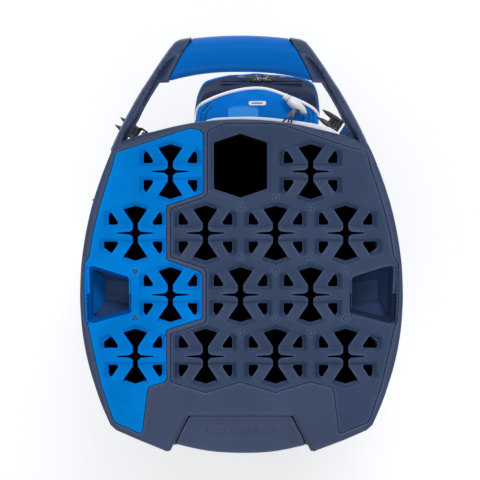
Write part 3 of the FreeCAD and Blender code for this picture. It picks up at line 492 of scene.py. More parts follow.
class Graph:
    """Short names for building a node material."""

    def __init__(self, name):
        self.material = bpy.data.materials.new(name)
        self.material.use_nodes = True
        self.tree = self.material.node_tree
        self.tree.nodes.clear()
        output = self.add("ShaderNodeOutputMaterial")
        self.shader = self.add("ShaderNodeBsdfPrincipled")
        self.tree.links.new(self.shader.outputs["BSDF"], output.inputs["Surface"])
        self.position = None

    def add(self, kind, **props):
        node = self.tree.nodes.new(kind)
        for key, value in props.items():
            setattr(node, key, value)
        return node

    def put(self, node, key, value):
        if isinstance(value, bpy.types.NodeSocket):
            self.tree.links.new(value, node.inputs[key])
        else:
            node.inputs[key].default_value = value

    def math(self, op, a, b=0.5, clamp=False):
        node = self.add("ShaderNodeMath", operation=op, use_clamp=clamp)
        self.put(node, 0, a)
        self.put(node, 1, b)
        return node.outputs[0]

    def noise(self, scale, detail=3.0, rough=0.55, dist=0.0):
        if self.position is None:
            self.position = self.add("ShaderNodeTexCoord").outputs["Object"]
        node = self.add("ShaderNodeTexNoise")
        for key, value in (("Scale", scale), ("Detail", detail), ("Roughness", rough),
                           ("Distortion", dist), ("Vector", self.position)):
            self.put(node, key, value)
        return node.outputs["Fac"]

    def spread(self, value, span, to=(0.0, 1.0)):
        """Maps the span on to another, clamped."""
        node = self.add("ShaderNodeMapRange")
        for key, entry in (("Value", value), ("From Min", span[0]), ("From Max", span[1]),
                           ("To Min", to[0]), ("To Max", to[1])):
            self.put(node, key, entry)
        return node.outputs[0]

    def mix(self, factor, a, b, mode="MIX"):
        node = self.add("ShaderNodeMix", data_type="RGBA", blend_type=mode)
        for key, value in ((0, factor), (6, a), (7, b)):
            self.put(node, key, value)
        return node.outputs[2]

    def attr(self, name):
        return self.add("ShaderNodeAttribute", attribute_name=name).outputs["Fac"]

    def bump(self, height, dist, strength=1.0, under=None):
        node = self.add("ShaderNodeBump")
        self.put(node, "Strength", strength)
        self.put(node, "Distance", dist)
        self.put(node, "Height", height)
        if under is not None:
            self.put(node, "Normal", under)
        return node.outputs["Normal"]

    def surface(self, color, rough, normal=None, **more):
        """Sets the shader; further inputs are named with underscores for spaces."""
        self.put(self.shader, "Base Color", color)
        self.put(self.shader, "Roughness", rough)
        if normal is not None:
            self.put(self.shader, "Normal", normal)
        for key, value in more.items():
            self.put(self.shader, key.replace("_", " "), value)
        return self.material


def plastic(name, color, rough=0.42, grain=0.00004, grain_scale=2600.0, edge=None, edge_light=0.5,
            spec=0.5, vary=0.10, coat=0.0, glint=None):
    """Moulded plastic: fine grain, slow colour drift, painted highlight along the edges, handling
    marks.
    """
    g = Graph(name)
    slow = g.spread(g.noise(scale=22.0), span=(0.3, 0.7), to=(1.0 - vary, 1.0 + vary))
    tone = g.mix(1.0, srgb(*color), slow, "MULTIPLY")
    if edge is not None:
        # painted highlight: the edge colour is mixed in where the edge attribute is high, broken up
        # by noise
        edge_breakup = g.spread(g.noise(scale=420.0, rough=0.7), span=(0.35, 0.6), to=(0.55, 1.0))
        lit_edge = g.math("MULTIPLY", g.attr("edge"), edge_breakup)
        tone = g.mix(g.math("MULTIPLY", lit_edge, edge_light, clamp=True), tone, srgb(*edge))
    marks = g.spread(g.noise(scale=160.0, detail=4.0, rough=0.7), span=(0.35, 0.75),
                     to=(-0.05, 0.07))
    normal = g.bump(g.noise(scale=grain_scale, detail=2.0, rough=0.6), dist=grain)
    normal = g.bump(g.noise(scale=260.0, rough=0.5), dist=0.00005, strength=0.6, under=normal)
    more = {"Specular_Tint": glint + (1.0,)} if glint else {}
    return g.surface(tone, g.math("ADD", marks, rough), normal, Specular_IOR_Level=spec,
                     Coat_Weight=coat, Coat_Roughness=0.2, **more)


def weave_maps(g, pitch):
    """Plain weave height and thread mask from the wu and wv attributes."""
    sin_u = g.math("SINE", g.math("MULTIPLY", g.attr("wu"), math.pi / pitch))
    sin_v = g.math("SINE", g.math("MULTIPLY", g.attr("wv"), math.pi / pitch))
    abs_u, abs_v = g.math("ABSOLUTE", sin_u), g.math("ABSOLUTE", sin_v)
    over = g.spread(g.math("MULTIPLY", sin_u, sin_v), span=(-0.06, 0.06))
    height = g.add("ShaderNodeMix", data_type="FLOAT")
    g.put(height, 0, over)
    dip = {"span": (0.0, 1.0), "to": (0.55, 1.0)}
    g.put(height, 2, g.math("MULTIPLY", abs_u, g.spread(abs_v, **dip)))
    g.put(height, 3, g.math("MULTIPLY", abs_v, g.spread(abs_u, **dip)))
    return height.outputs[0], over


def fabric(name, color, second, pitch, rough=0.78, sheen=0.35, depth=0.00022, vary=0.14,
           spec=0.3, seam=None, painted_glow=None):
    """Woven cloth of two thread colours with soft creases; seam darkens stitch lines."""
    g = Graph(name)
    height, over = weave_maps(g, pitch)
    yarn = g.noise(scale=900.0, detail=2.0, rough=0.6)
    slow = g.spread(g.noise(scale=14.0, detail=4.0), span=(0.28, 0.72),
                    to=(1.0 - vary, 1.0 + vary))
    tone = g.mix(1.0, srgb(*color), slow, "MULTIPLY")
    tone = g.mix(g.math("MULTIPLY", over, 0.5), tone, srgb(*second))
    # painted shade: the weave's low spots are darkened and its high spots lightened, with random
    # yarn tone mixed in
    relief = g.math("ADD", g.math("MULTIPLY", height, 0.75), g.math("MULTIPLY", yarn, 0.5))
    tone = g.mix(1.0, tone, g.spread(relief, span=(0.2, 1.1), to=(0.72, 1.12)), "MULTIPLY")
    if seam is not None:
        tone = g.mix(g.math("MULTIPLY", g.attr("seam"), 0.85, clamp=True), tone, srgb(*seam))
    normal = g.bump(height, dist=depth, strength=0.9)
    normal = g.bump(g.noise(scale=38.0, detail=4.0, rough=0.5, dist=0.6),
                    dist=0.0011, strength=0.45, under=normal)
    # painted light: a faint emission in the given colour brightens cloth that sits in shade
    more = {"Emission_Color": painted_glow + (1.0,), "Emission_Strength": 0.2} if painted_glow else {}
    return g.surface(tone, rough, normal, Specular_IOR_Level=spec, Sheen_Weight=sheen,
                     Sheen_Roughness=0.45, **more)


def zone_fabric(name, pitch, seam):
    """Woven cloth, navy where the zone attribute is negative and blue where it is positive."""
    g = Graph(name)
    height, _ = weave_maps(g, pitch)
    tone = g.mix(g.math("GREATER_THAN", g.attr("zone"), 0.0), srgb(39, 51, 81),
                 srgb(0, 132, 236))
    slow = g.spread(g.noise(scale=16.0, detail=4.0), span=(0.28, 0.72), to=(0.86, 1.12))
    tone = g.mix(1.0, tone, slow, "MULTIPLY")
    # painted shade: the weave's low spots are darkened and its high spots lightened, with random
    # yarn tone mixed in
    relief = g.math("ADD", g.math("MULTIPLY", height, 0.8),
                    g.math("MULTIPLY", g.noise(scale=900.0, detail=2.0), 0.45))
    tone = g.mix(1.0, tone, g.spread(relief, span=(0.2, 1.1), to=(0.74, 1.1)), "MULTIPLY")
    tone = g.mix(g.math("MULTIPLY", g.attr("seam"), 0.8, clamp=True), tone, srgb(*seam))
    normal = g.bump(height, dist=0.0002, strength=0.9)
    normal = g.bump(g.noise(scale=36.0, detail=4.0, rough=0.5, dist=0.7),
                    dist=0.0014, strength=0.5, under=normal)
    return g.surface(tone, 0.76, normal, Specular_IOR_Level=0.1, Sheen_Weight=0.02,
                     Sheen_Roughness=0.45)


def metal(name, color, rough):
    g = Graph(name)
    streak = g.spread(g.noise(scale=500.0), span=(0.3, 0.7), to=(-0.06, 0.08))
    normal = g.bump(g.noise(scale=1500.0, detail=2.0), dist=0.00002)
    return g.surface(color + (1.0,), g.math("ADD", streak, rough), normal, Metallic=1.0)


# The edge colours below are painted highlights along moulded edges, strongest on the inserts'
# openings and the carry arms.
COLLAR_NAVY = plastic("moulded_navy", (50, 65, 95), rough=0.46, edge=(150, 160, 190), edge_light=0.2,
                      spec=0.26)
SOFT_NAVY = plastic("soft_navy", (45, 61, 91), rough=0.52, edge=(84, 106, 146), edge_light=0.85,
                    grain=0.00003, spec=0.22)
SOFT_BLUE = plastic("soft_blue", (3, 121, 205), rough=0.52, edge=(0, 152, 252), edge_light=1.0,
                    grain=0.00003, spec=0.14, glint=(0.0, 0.35, 1.0))
GRIP_BLUE = plastic("sleeve_blue", (0, 96, 180), grain=0.00002, vary=0.04, spec=0.3,
                    glint=(0.1, 0.4, 1.0))
PANEL_NAVY = plastic("soft_navy_plate", (54, 67, 96), rough=0.52, edge=(100, 116, 150),
                     edge_light=0.7, spec=0.24)
CUP_NAVY = plastic("cup_navy", (60, 84, 128), rough=0.5, spec=0.1, edge=(96, 108, 136),
                   edge_light=0.7)
CUP_BLUE = plastic("cup_blue", (3, 132, 228), rough=0.48, spec=0.15, edge=(40, 140, 215),
                   edge_light=0.8)
# Darker copies of the insert colours for the hand-hold lips: painted shade on their turned-down
# edges.
SHADED_LIP_BLUE = plastic("lip_blue_shaded", (1, 86, 166), rough=0.55, edge=(0, 120, 205), edge_light=0.5,
                   grain=0.00003, spec=0.1)
SHADED_LIP_NAVY = plastic("lip_navy_shaded", (34, 47, 72), rough=0.55, edge=(70, 90, 126), edge_light=0.5,
                   grain=0.00003, spec=0.12)
BLACK = plastic("black_lining", (14, 14, 16), rough=0.85, spec=0.1)
CLIP_BLACK = plastic("black_acetal", (30, 31, 34), rough=0.34, grain=0.00002,
                     edge=(70, 72, 78), edge_light=0.4)
BASE_NAVY = plastic("base_navy", (40, 52, 76), rough=0.55, grain=0.00012, grain_scale=900.0,
                    edge=(76, 90, 118))
SOLE_BLACK = plastic("sole_black", (24, 24, 27), rough=0.8, grain=0.0001, grain_scale=700.0)
DIPPED = plastic("dipped_cord", (44, 78, 110), rough=0.4, edge=(90, 130, 165))
LOCK_WHITE = plastic("lock_white", (232, 234, 238), rough=0.2, grain=0.00001, vary=0.02,
                     coat=0.35, spec=0.6)
RIVET_PAINT = plastic("rivet_paint", (40, 50, 68), rough=0.32, grain=0.00001, coat=0.3)
SLIDER_PAINT = plastic("slider_paint", (26, 28, 33), rough=0.3, grain=0.00001, coat=0.4,
                       edge=(110, 112, 118), edge_light=0.4)
COIL_DARK = plastic("zip_coil", (26, 34, 52), rough=0.4)
COIL_NAVY = plastic("zip_coil_navy", (40, 53, 84), rough=0.8, spec=0.05)
TUBE_BLACK = plastic("putter_tube_plastic", (16, 18, 24), rough=0.5, grain=0.00003)
SLEEVE_BLACK = plastic("sleeve_sheet", (13, 15, 20), rough=0.6, grain=0.00003)
STEEL = metal("plated_wire", (0.62, 0.63, 0.65), rough=0.18)
SPRING = metal("spring_wire", (0.55, 0.55, 0.57), rough=0.3)
ALUMINIUM = metal("drawn_tube", (0.72, 0.72, 0.74), rough=0.34)

POCKET_BLUE = fabric("pocket_cloth_blue", (4, 138, 242), (0, 120, 222), pitch=0.0010,
                     sheen=0.2, spec=0.2, seam=(0, 62, 128))
# The white trim and the loop tape glow faintly: painted light against the shade they sit in.
TRIM = fabric("trim_white", (246, 246, 252), (228, 229, 244), pitch=0.0009, vary=0.05,
              depth=0.00012, painted_glow=(0.93, 0.93, 1.0))
SEAM_BLUE = fabric("seam_blue", (0, 62, 128), (0, 48, 104), pitch=0.0007)
TAB_BLUE = fabric("loop_tape", (62, 168, 255), (44, 150, 250), pitch=0.0006, rough=0.95,
                  sheen=0.05, depth=0.0004, painted_glow=(0.06, 0.40, 1.0))
TAPE_DARK = fabric("zip_tape_cloth", (28, 34, 50), (20, 26, 40), pitch=0.0007)
TAPE_NAVY = fabric("zip_tape_navy", (47, 61, 94), (42, 55, 86), pitch=0.0007, sheen=0.0)
CORD_DARK = fabric("braided_cord", (40, 56, 76), (26, 38, 54), pitch=0.0008, depth=0.0003)
PULL_CORD = fabric("pull_cord_braid", (40, 74, 112), (26, 54, 88), pitch=0.0007, depth=0.0003)
WEB_BLUE = fabric("webbing_blue", (34, 76, 124), (24, 60, 104), pitch=0.0013, depth=0.0004)
WEB_NAVY = fabric("webbing_navy", (34, 46, 72), (26, 36, 58), pitch=0.0014, depth=0.0004)
SPACER = fabric("spacer_mesh", (30, 40, 62), (14, 20, 34), pitch=0.0026, depth=0.0009,
                seam=(12, 18, 30))
UPPER_CLOTH = zone_fabric("upper_pocket_cloth", pitch=0.0010, seam=(0, 66, 136))
LOWER_CLOTH = zone_fabric("lower_pocket_cloth", pitch=0.0012, seam=(18, 26, 44))
SHELL_CLOTH = zone_fabric("shell_panels", pitch=0.0013, seam=(16, 22, 38))
SIDE_CLOTH = zone_fabric("side_pocket_cloth", pitch=0.0012, seam=(18, 26, 44))

# ------------------------------------------------------------------ plan outlines, (x, y)
# half of the collar's rim, in four runs from front to rear
FRONT = [(110.7, -128.3), (79.2, -138.4), (54.4, -144.6), (35.1, -147.8), (0, -150)]
FLANK = [(110.7, -128.3), (124.7, -100.4), (134.3, -67.3), (139.8, -37), (143.1, -4),
         (143.9, 18.1), (141.1, 48.4), (134.3, 78.7), (124.4, 106), (115.6, 125.6)]
TAIL = [(115.6, 125.6), (110.4, 130.4), (66.5, 149.6)]
REAR = [(63.4, 149), (40, 146.2), (0, 146.6)]
# half of the body tube
TUBE = [(0, -145), (40, -142.2), (75, -133.5), (102, -121), (118.5, -97), (128.8, -66),
        (134.6, -36), (138, -3), (138.9, 18), (136.2, 47), (129.6, 77), (119, 102.5),
        (105, 119.5), (85, 131.6), (60, 138.6), (30, 140.9), (0, 141.2)]
# openings in the collar for the blue and navy inserts; both share one outer flank
INSERT_FLANK = [
    (82.7, 92.3), (83.9, 95.8), (88.2, 131.4), (89.6, 133.5), (91.9, 133.1), (110.9, 123.9),
    (113.1, 121.1), (125.2, 88.9), (132.1, 60.2), (136.7, 38.4), (139.3, 31.5), (140.2, 20.1),
    (140, 0), (139, -18.2), (138, -21.2), (135.1, -26.5), (132.3, -46.1), (127.2, -68.8),
    (121.1, -91.5), (114.4, -110.2), (111.3, -118.9)]
BLUE = [
    (108.7, -121), (51.9, -140.1), (45.7, -141.9), (37.4, -140.6), (33.5, -137.5),
    (33.5, -84.3), (36.5, -81.7), (66.3, -71.9), (66.7, -69.8), (66.7, -23.9), (64.9, -22.6),
    (37.4, -13.1), (34.7, -10.4), (34.5, 28.1), (35.6, 30.3), (66.1, 40), (67, 41.8),
    (66.3, 84.3), (68.4, 87.2), (80.5, 90.6)] + INSERT_FLANK
NAVY = [
    (28.2, -140.4), (14.4, -146.3), (-22.8, -146.3), (-37.8, -144.9), (-108.7, -121.4),
] + mirror(INSERT_FLANK)[::-1] + [
    (-79.8, 91.4), (-63.7, 87.2), (-61.5, 87.2), (-31.6, 96.6), (-1, 87.6), (1.7, 87.6),
    (31.6, 96.6), (62.3, 87.4), (63.1, 84.6), (63.1, 43.6), (32.9, 33.6), (31, 31),
    (31, -11.9), (32.9, -15.4), (62.6, -25.4), (63.1, -28), (63.1, -67.5), (61.6, -69.8),
    (32.4, -79.8), (29.9, -83.7), (29.9, -138.4)]
HAND = [(135, -18.2), (100.8, -7.4), (100.8, 24.6), (135, 34.4)]    # left hand-hold opening

# club cells, centred on four rows, and the putter well
ROWS = [-102.8, -47.2, 8.4, 64.0]
CELLS = [(x, ROWS[0]) for x in (63.3, -63.3)]
CELLS += [(x, ROWS[1]) for x in (94.95, 31.65, -31.65, -94.95)]
CELLS += [(x, ROWS[2]) for x in (63.3, 0.0, -63.3)]
CELLS += [(x, ROWS[3]) for x in (94.95, 31.65, -31.65, -94.95)]
BLUE_CELLS = [(63.3, ROWS[0]), (94.95, ROWS[1]), (63.3, ROWS[2]), (94.95, ROWS[3])]
NAVY_CELLS = [c for c in CELLS if c not in BLUE_CELLS]
PUTTER = (0.0, -108.2)

# triangular pegs between cells: x, y, whether the tip points to +Y
NAVY_PEGS = [(0.0, -69.6, False), (-63.3, -69.6, False), (-31.65, -80.4, True),
             (0.0, -24.8, False), (-63.3, -24.8, False), (-31.65, -14.0, True),
             (-94.95, -14.0, True), (-31.65, 30.8, False), (-94.95, 30.8, False),
             (0.0, 41.6, True), (-63.3, 41.6, True)]
NAVY_PEGS = [(x, y + (1.5 if up else -1.5), up) for x, y, up in NAVY_PEGS]
BLUE_PEGS = [(94.95, -12.5, True), (94.95, 29.3, False)]


def hexagon(centre, half_width, half_height, shoulder):
    x, y = centre
    return [(x, y - half_height), (x + half_width, y - shoulder), (x + half_width, y + shoulder),
            (x, y + half_height), (x - half_width, y + shoulder), (x - half_width, y - shoulder)]


def peg(x, y, up, scale):
    tip = 1.0 if up else -1.0
    return [(x - 2.9 * scale, y - 1.9 * tip * scale), (x + 2.9 * scale, y - 1.9 * tip * scale),
            (x, y + 3.4 * tip * scale)]


# ------------------------------------------------------------------ moulded top
BLUE_R, NAVY_R = rounded(BLUE, 2.2), rounded(NAVY, 2.2)
front_run = smooth_run(mirror(FRONT) + FRONT[:-1][::-1], 49)
rear_run = smooth_run(REAR[:-1] + mirror(REAR)[::-1], 25)
half_rim = np.vstack([front_run[24:-1], smooth_run(FLANK, 60)[:-1], TAIL[:-1] + TAIL[-1:],
                      rear_run[:13]])
RIM = np.vstack([half_rim, mirror(half_rim[1:-1])[::-1]])


def notched_rim():
    """The rim's outline, stepped in behind for the rear plate."""
    notch = [(62.9, 148.4), (46.8, 117.4), (-46.8, 117.4), (-62.9, 148.4)]
    kept = RIM[~((RIM[:, 1] > 130) & (np.abs(RIM[:, 0]) < 63.0))]
    last = np.nonzero((kept[:, 0] > 60) & (kept[:, 1] > 130))[0].max()
    return np.vstack([kept[:last + 1], notch, kept[last + 1:]])


NOTCHED = notched_rim()

# outward growth of the rim's flanks by y
SWELL_Y = [-150, -132.8, -122, -105.8, -95, -84.2, -73.4, -62.6, -41, -19.4, -8.6, 13, 23.8,
           45.4, 67, 88.6, 99.4, 110.2, 121, 150]
SWELL_D = [3, 3, 2.7, 1.05, 0.7, 0.95, 1.5, 1.9, 2.3, 2.55, 2.3, 1.6, 1.25, 1.35, 1.4, 1.5, 2,
           2.4, 2.5, 2.5]
fine_rim = resample(NOTCHED, 0.5)
REACH_Y = np.arange(fine_rim[:, 1].min() + 0.5, fine_rim[:, 1].max() - 0.2, 1.0)
REACH_X = [fine_rim[np.abs(fine_rim[:, 1] - y) < 0.8, 0].max() for y in REACH_Y]


def swell(verts):
    """Moves the flanks out a little near the rim."""
    out = np.array(verts, float)
    across = np.abs(out[:, 0])
    reach = np.interp(out[:, 1], REACH_Y, REACH_X)
    t = unit((across - (reach - 16.0)) / 12.0)
    t = t * t * (3 - 2 * t) * unit((across - 70) / 20)
    growth = np.interp(out[:, 1], SWELL_Y, SWELL_D)
    out[:, 0] += t * (np.sign(out[:, 0]) * growth - 0.9)
    return out


def tuck(verts):
    """Leans the skirt behind the rear plate in, so that the plate covers it from the camera."""
    out = np.array(verts, float)
    limit = np.interp(np.abs(out[:, 0]), [0, 30, 56, 60, 64], [149.8, 147.6, 141.9, 141.5, 141.5])
    limit = EYE_Y + (limit - EYE_Y) * (EYE_Z - out[:, 2]) / (EYE_Z - PLATE_TOP) - 0.4
    behind = (np.abs(out[:, 0]) < 61.5) & (out[:, 1] > 128) & (out[:, 2] < 867.0)
    out[behind, 1] = np.minimum(out[behind, 1], limit[behind])
    return out


def swell_mesh(ob):
    set_coords(ob, swell(coords(ob)))


def collar_top(pts, dist, loop):
    z = np.full(len(pts), TOP)
    rim = loop == 0
    # shallow groove and bead round the outer rim
    z[rim] += 0.35 * bell(dist[rim], 2.6, 0.5) - 0.25 * bell(dist[rim], 1.5, 0.45)
    x, y = pts[:, 0], pts[:, 1]
    rib = (loop > 0) & (np.abs(x) < 68) & (y < 88) & (y > -140)
    z[rib] += 0.5 * unit(dist[rib] / 1.8)
    return z


def deck():
    holes = [rounded(hexagon(c, 28.3, 29.2, 19.4), 2.0, 3) for c in CELLS]
    holes += [rounded(hexagon(PUTTER, 24.8, 29.9, 21.7), 2.0, 3)]
    holes += [rounded(HAND, 4.0), rounded(mirror(HAND), 4.0)]
    return slab([(grow(RIM, -4.0), 0.3)] + [(hole, 0.6) for hole in holes], flat(DECK), 856.0,
                step=7.0, bstep=3.0)


# skirt section: offset outwards from the rim, z
SKIRT = [(-1.6, 876.4), (-1.6, 868.6), (-0.5, 867.8), (-0.35, 867.3), (0, 866.9), (0, 822),
         (-0.35, 819.2), (-1.2, 818.1), (-3.2, 818.1), (-4.2, 819.2), (-4.25, 866), (-3.4, 868)]


def skirt():
    """Wall under the rim, cut down behind the rear plate."""
    outline = resample(RIM, 3.0)
    verts, faces = wrap([at_height(grow(outline, out), z) for out, z in SKIRT], flip=True)
    verts = np.array(verts)
    cut_z = 861.5
    cut = (verts[:, 1] > 128) & (np.abs(verts[:, 0]) < 64.0) & (verts[:, 2] > cut_z)
    verts[cut, 2] = cut_z + (verts[cut, 2] - cut_z) * 0.02
    return verts, faces


PLATE_SEAT = [(46, 112), (63, 147.6), (40, 145.6), (0, 146), (-40, 145.6), (-63, 147.6),
              (-46, 112)]
top_parts = [slab([(NOTCHED, 2.6), (BLUE_R, 1.0), (NAVY_R, 1.0)], collar_top, DECK - 0.02,
                  step=2.4),
             deck(), skirt(),
             slab([(PLATE_SEAT, 0.4)], flat(861.8), 856.2, step=9.0, bstep=4.0)]
for entry in NAVY_PEGS + BLUE_PEGS:
    top_parts.append(slab([(rounded(peg(*entry, 0.98), 1.2, 3), 0.6)], flat(879.5), DECK - 1.0,
                          step=1.0, bstep=0.6))
top_parts = [(tuck(swell(part[0])),) + tuple(part[1:]) for part in top_parts]

# carry frame arm at +X, in plan: outer edge, ridge between flange and web, inner edge, and
# the seam where it meets the grip
OUTER = [(113, -111), (117.2, -122.4), (112.4, -132.7), (106.9, -143.1), (100.8, -153.4),
         (94.4, -163.7), (87.8, -173.9), (80.5, -184.1), (73.6, -194.4), (66.2, -204.8),
         (62.3, -210.2), (57.6, -215.6), (53, -217.8), (43.4, -219.4)]
RIDGE = [(107, -121), (106.8, -131), (96.2, -149.5), (84.6, -169.5), (76.4, -182.5),
         (67.3, -195), (61, -201.2), (54.6, -204.4)]
INNER = [(64.2, -182.2), (72.4, -181.8), (80.1, -170.5), (86.5, -160.1), (92.1, -149.6),
         (98, -140.2), (104.4, -130.8), (104, -114)]
SEAM = [(43.4, -219.3), (53.8, -200.8), (64.2, -182.2)]
outer_run = np.vstack([even(OUTER[1:-1], 60), OUTER[-1:]])
ARM_PLAN = np.vstack([OUTER[:1], outer_run, SEAM[1:2], INNER])
OUTER_DOTS = np.vstack([dots(OUTER[:2]), dots(outer_run)])
RIDGE_DOTS = dots(smooth_run(RIDGE, 30))
INNER_DOTS, SEAM_DOTS = dots(INNER), dots(SEAM)
# heights along the arm, (y, z)
FLANGE_Z = smooth_run([(-100, 879), (-129, 881), (-158, 901.5), (-186, 919.5), (-212, 925.5),
                       (-236, 926.5)], 40)
WEB_Z = smooth_run([(-100, 872), (-129, 873), (-158, 893), (-186, 911.5), (-212, 917),
                    (-236, 918)], 40)
UNDER_Z = [(-100, 846.5), (-116, 846.5), (-150, 868.3), (-190, 893), (-236, 896.2)]


def height_at(y, profile):
    table = np.array(profile)[::-1]
    return np.interp(y, table[:, 0], table[:, 1])


def arm_top(pts, dist, loop):
    y = pts[:, 1]
    to_outer = nearest(OUTER_DOTS, pts)[0]
    to_ridge, ridge_dot = nearest(RIDGE_DOTS, pts)
    to_inner = nearest(INNER_DOTS, pts)[0]
    to_seam = nearest(SEAM_DOTS, pts)[0]
    on_flange = to_outer < nearest(OUTER_DOTS, RIDGE_DOTS)[0][ridge_dot]
    flange_z = height_at(y, FLANGE_Z)
    flange = flange_z - 1.9 * unit(1 - to_outer / 2.3) - 0.5 * bell(to_outer, 2.9, 0.5)
    flange += 0.35 * bell(to_ridge, 0.7, 0.6) - 0.9 * unit(1 - to_ridge / 0.8) ** 2
    web = height_at(y, WEB_Z) - 3.0 * bell(to_ridge, 1.5, 1.0) + 0.6 * unit((to_ridge - 2) / 4)
    web -= 1.2 * unit(1 - to_inner / 1.3)
    # face that climbs to the grip sleeve
    climb = 924.6 - 0.0105 * (y + 203.0) ** 2 - 0.5 - 1.15 * np.clip(to_seam - 3.2, 0, 40)
    climb -= 0.8 * unit(1 - to_inner / 1.3)
    return np.maximum(np.where(on_flange, flange, web),
                      np.where(on_flange, np.minimum(climb, flange_z + 0.2), climb))


def arm():
    verts, faces, edge = slab([(ARM_PLAN, 0.9)], arm_top, lambda pts: height_at(pts[:, 1], UNDER_Z),
                              step=0.9, bstep=0.9)
    plan = np.array(verts)[:, :2]
    to_outer, to_ridge = nearest(OUTER_DOTS, plan)[0], nearest(RIDGE_DOTS, plan)[0]
    upper = np.arange(len(plan)) < len(plan) // 2
    # painted highlight: edge values raised along the outer edge and the ridge, so these lines take
    # the paler edge colour
    lit_edge = 3.2 * bell(to_outer, 0, 1.3) + 1.0 * bell(to_ridge, 0.4, 0.5)
    return verts, faces, np.array(edge) + np.where(upper & (to_outer > 0.32), lit_edge, 0.0)


left_arm = arm()
top_parts += [left_arm, flipped(([(-x, y, z) for x, y, z in left_arm[0]],) + left_arm[1:])]
# core bar inside the grip
top_parts.append(loft([[(x, y, z) for y, z in ((-211, 901.2), (-197.5, 901.2), (-197.5, 911),
                                               (-211, 911))] for x in (-60.4, 0.0, 60.4)]))
make("moulded_top", join(top_parts), COLLAR_NAVY, "top_collar", sharp=38)

# ------------------------------------------------------------------ soft club inserts
# one half of a cell's four-pointed opening, about the cell centre, and its corner radii
CROSS = [(0, -24.9), (10.9, -21.3), (2.4, -8.9), (2.4, -3.5), (4.9, -1.35), (16.6, -0.45),
         (16.6, 0.45), (4.9, 1.35), (2.4, 3.5), (2.4, 8.9), (10.9, 21.3), (0, 24.9)]
CROSS_R = [1.6, 0.6, 1.2, 1.6, 2.0, 0.4, 0.4, 2.0, 1.6, 1.2, 0.6, 1.6]


def cross(centre):
    x, y = centre
    shape = CROSS + mirror(CROSS[1:-1])[::-1]
    return rounded([(x + u, y + v) for u, v in shape], CROSS_R + CROSS_R[1:-1], 4)


def relief(centre, sx, sy):
    """Side slot of a cell in the quarter (sx, sy); wider in the outer cells' inward quarters."""
    x, y = centre
    wide = 4.5 if abs(x) > 90 and sx * x > 0 and sy * y < 0 else 0.0
    shape = [(24.2 + wide, -7.5), (24.2 + wide, -15.6 + wide * 0.6), (22.6, -18.4 + wide * 0.2),
             (20.9, -18.0), (15.5, -10.0), (16.0, -7.7)]
    return rounded([(x + sx * u, y - sy * v) for u, v in shape],
                   [1.3, 2.4, 1.6, 1.6, 1.8, 1.4], 4)


def smooth_max(a, b, width):
    t = unit(0.5 + 0.5 * (a - b) / width)
    return b * (1 - t) + a * t + width * t * (1 - t)


def cell_height(pts, cells):
    """Depth below the lattice face: bevel, four sloping fingers and the two split arms."""
    cells = np.array(cells)
    cell = cells[((pts[:, None, :] - cells[None]) ** 2).sum(2).argmin(1)]
    local = pts - cell
    u, v = np.abs(local[:, 0]), np.abs(local[:, 1])
    slant = ((29.2 - v) * 28.3 - 9.8 * u) / 29.95
    side = 28.5 - u
    wide = (np.abs(cell[:, 0]) > 90) & (np.sign(local[:, 0]) == np.sign(cell[:, 0]))
    wide &= cell[:, 1] * local[:, 1] < 0
    side = np.where(wide, side + 4.5 * unit((v - 3) / 5), side)
    to_edge = np.minimum(slant, side)
    t = unit(to_edge / 3.9)
    basin = -5.4 * t * (0.75 + 0.25 * t)
    # finger: slopes from the hexagon's corner to the middle, between the cross and the relief
    to_cross = (u - 2.3) * (12.1 / 14.67) + (v - 8.9) * (-8.3 / 14.67)
    to_relief = (u - 15.6) * (-8.8 / 10.54) + (v - 9.6) * (5.8 / 10.54)
    to_relief = np.where(v < 9.0, np.maximum(to_relief, 15.9 - u), to_relief)
    inset = np.minimum(to_cross, to_relief)
    finger = -0.55 - 0.19 * np.clip(slant, 0, 30)
    finger = np.where(slant < 1.2, finger * unit(slant / 1.2), finger)
    finger = finger - 0.25 * unit(1 - inset / 2.0) ** 2 - 2.6 * np.clip(-inset, 0, 20)
    # arm: carries the lattice face in towards the middle on both sides of the slit
    arm_half = 4.55 + 1.3 * unit((28 - u) / 24)
    split = -0.085 * np.clip(28 - u, 0, 30) - 1.5 * np.clip(v - arm_half, 0, 20)
    z = smooth_max(smooth_max(basin, finger, 0.5), split, 0.6)
    return np.where(to_edge <= 0, 0.0, np.minimum(z, 0.0))


def insert_top(cells, sign, putter):
    cross_loops = [1 + 5 * i for i in range(len(cells))]

    def top(pts, dist, loop):
        x, y = pts[:, 0] * sign, pts[:, 1]
        z = 879.2 + cell_height(pts, cells)
        # raised lip along the free edges of the fingers
        lip = np.isin(loop, cross_loops)
        z += np.where(lip, 0.5 * bell(dist, 0.75, 0.6), 0.0)
        z += np.where((loop > 0) & ~lip, 0.25 * bell(dist, 0.7, 0.55), 0.0)
        # hand-hold: a sloping rear edge and a narrow front one
        near = (x > 99.4) & (x < 137.5) & (y > -24) & (y < 42)
        rear_line = 27.2 + (x - 100.8) * (36.0 - 27.2) / 35.6
        front_line = -6.0 - (x - 100.8) * (17.6 - 6.0) / 35.6
        z = np.where(near & (y > 8), z - 7.0 * unit((rear_line - y) / 5.0), z)
        z = np.where(near & (y < 8), z - 2.0 * unit((y - front_line) / 1.5), z)
        if putter:
            px, py = np.abs(pts[:, 0] - PUTTER[0]), np.abs(y - PUTTER[1])
            out = np.maximum(px - 24.0, ((py - 21.0) * 24.0 + px * 8.0 - 8.0 * 24.0) / 25.3)
            bevel = unit(1 - (out - 0.3) / 3.7)
            z -= np.where(out > -1, 2.6 * bevel ** 1.2 + 0.35 * bell(out, 4.4, 0.5), 0.0)
        return z
    return top


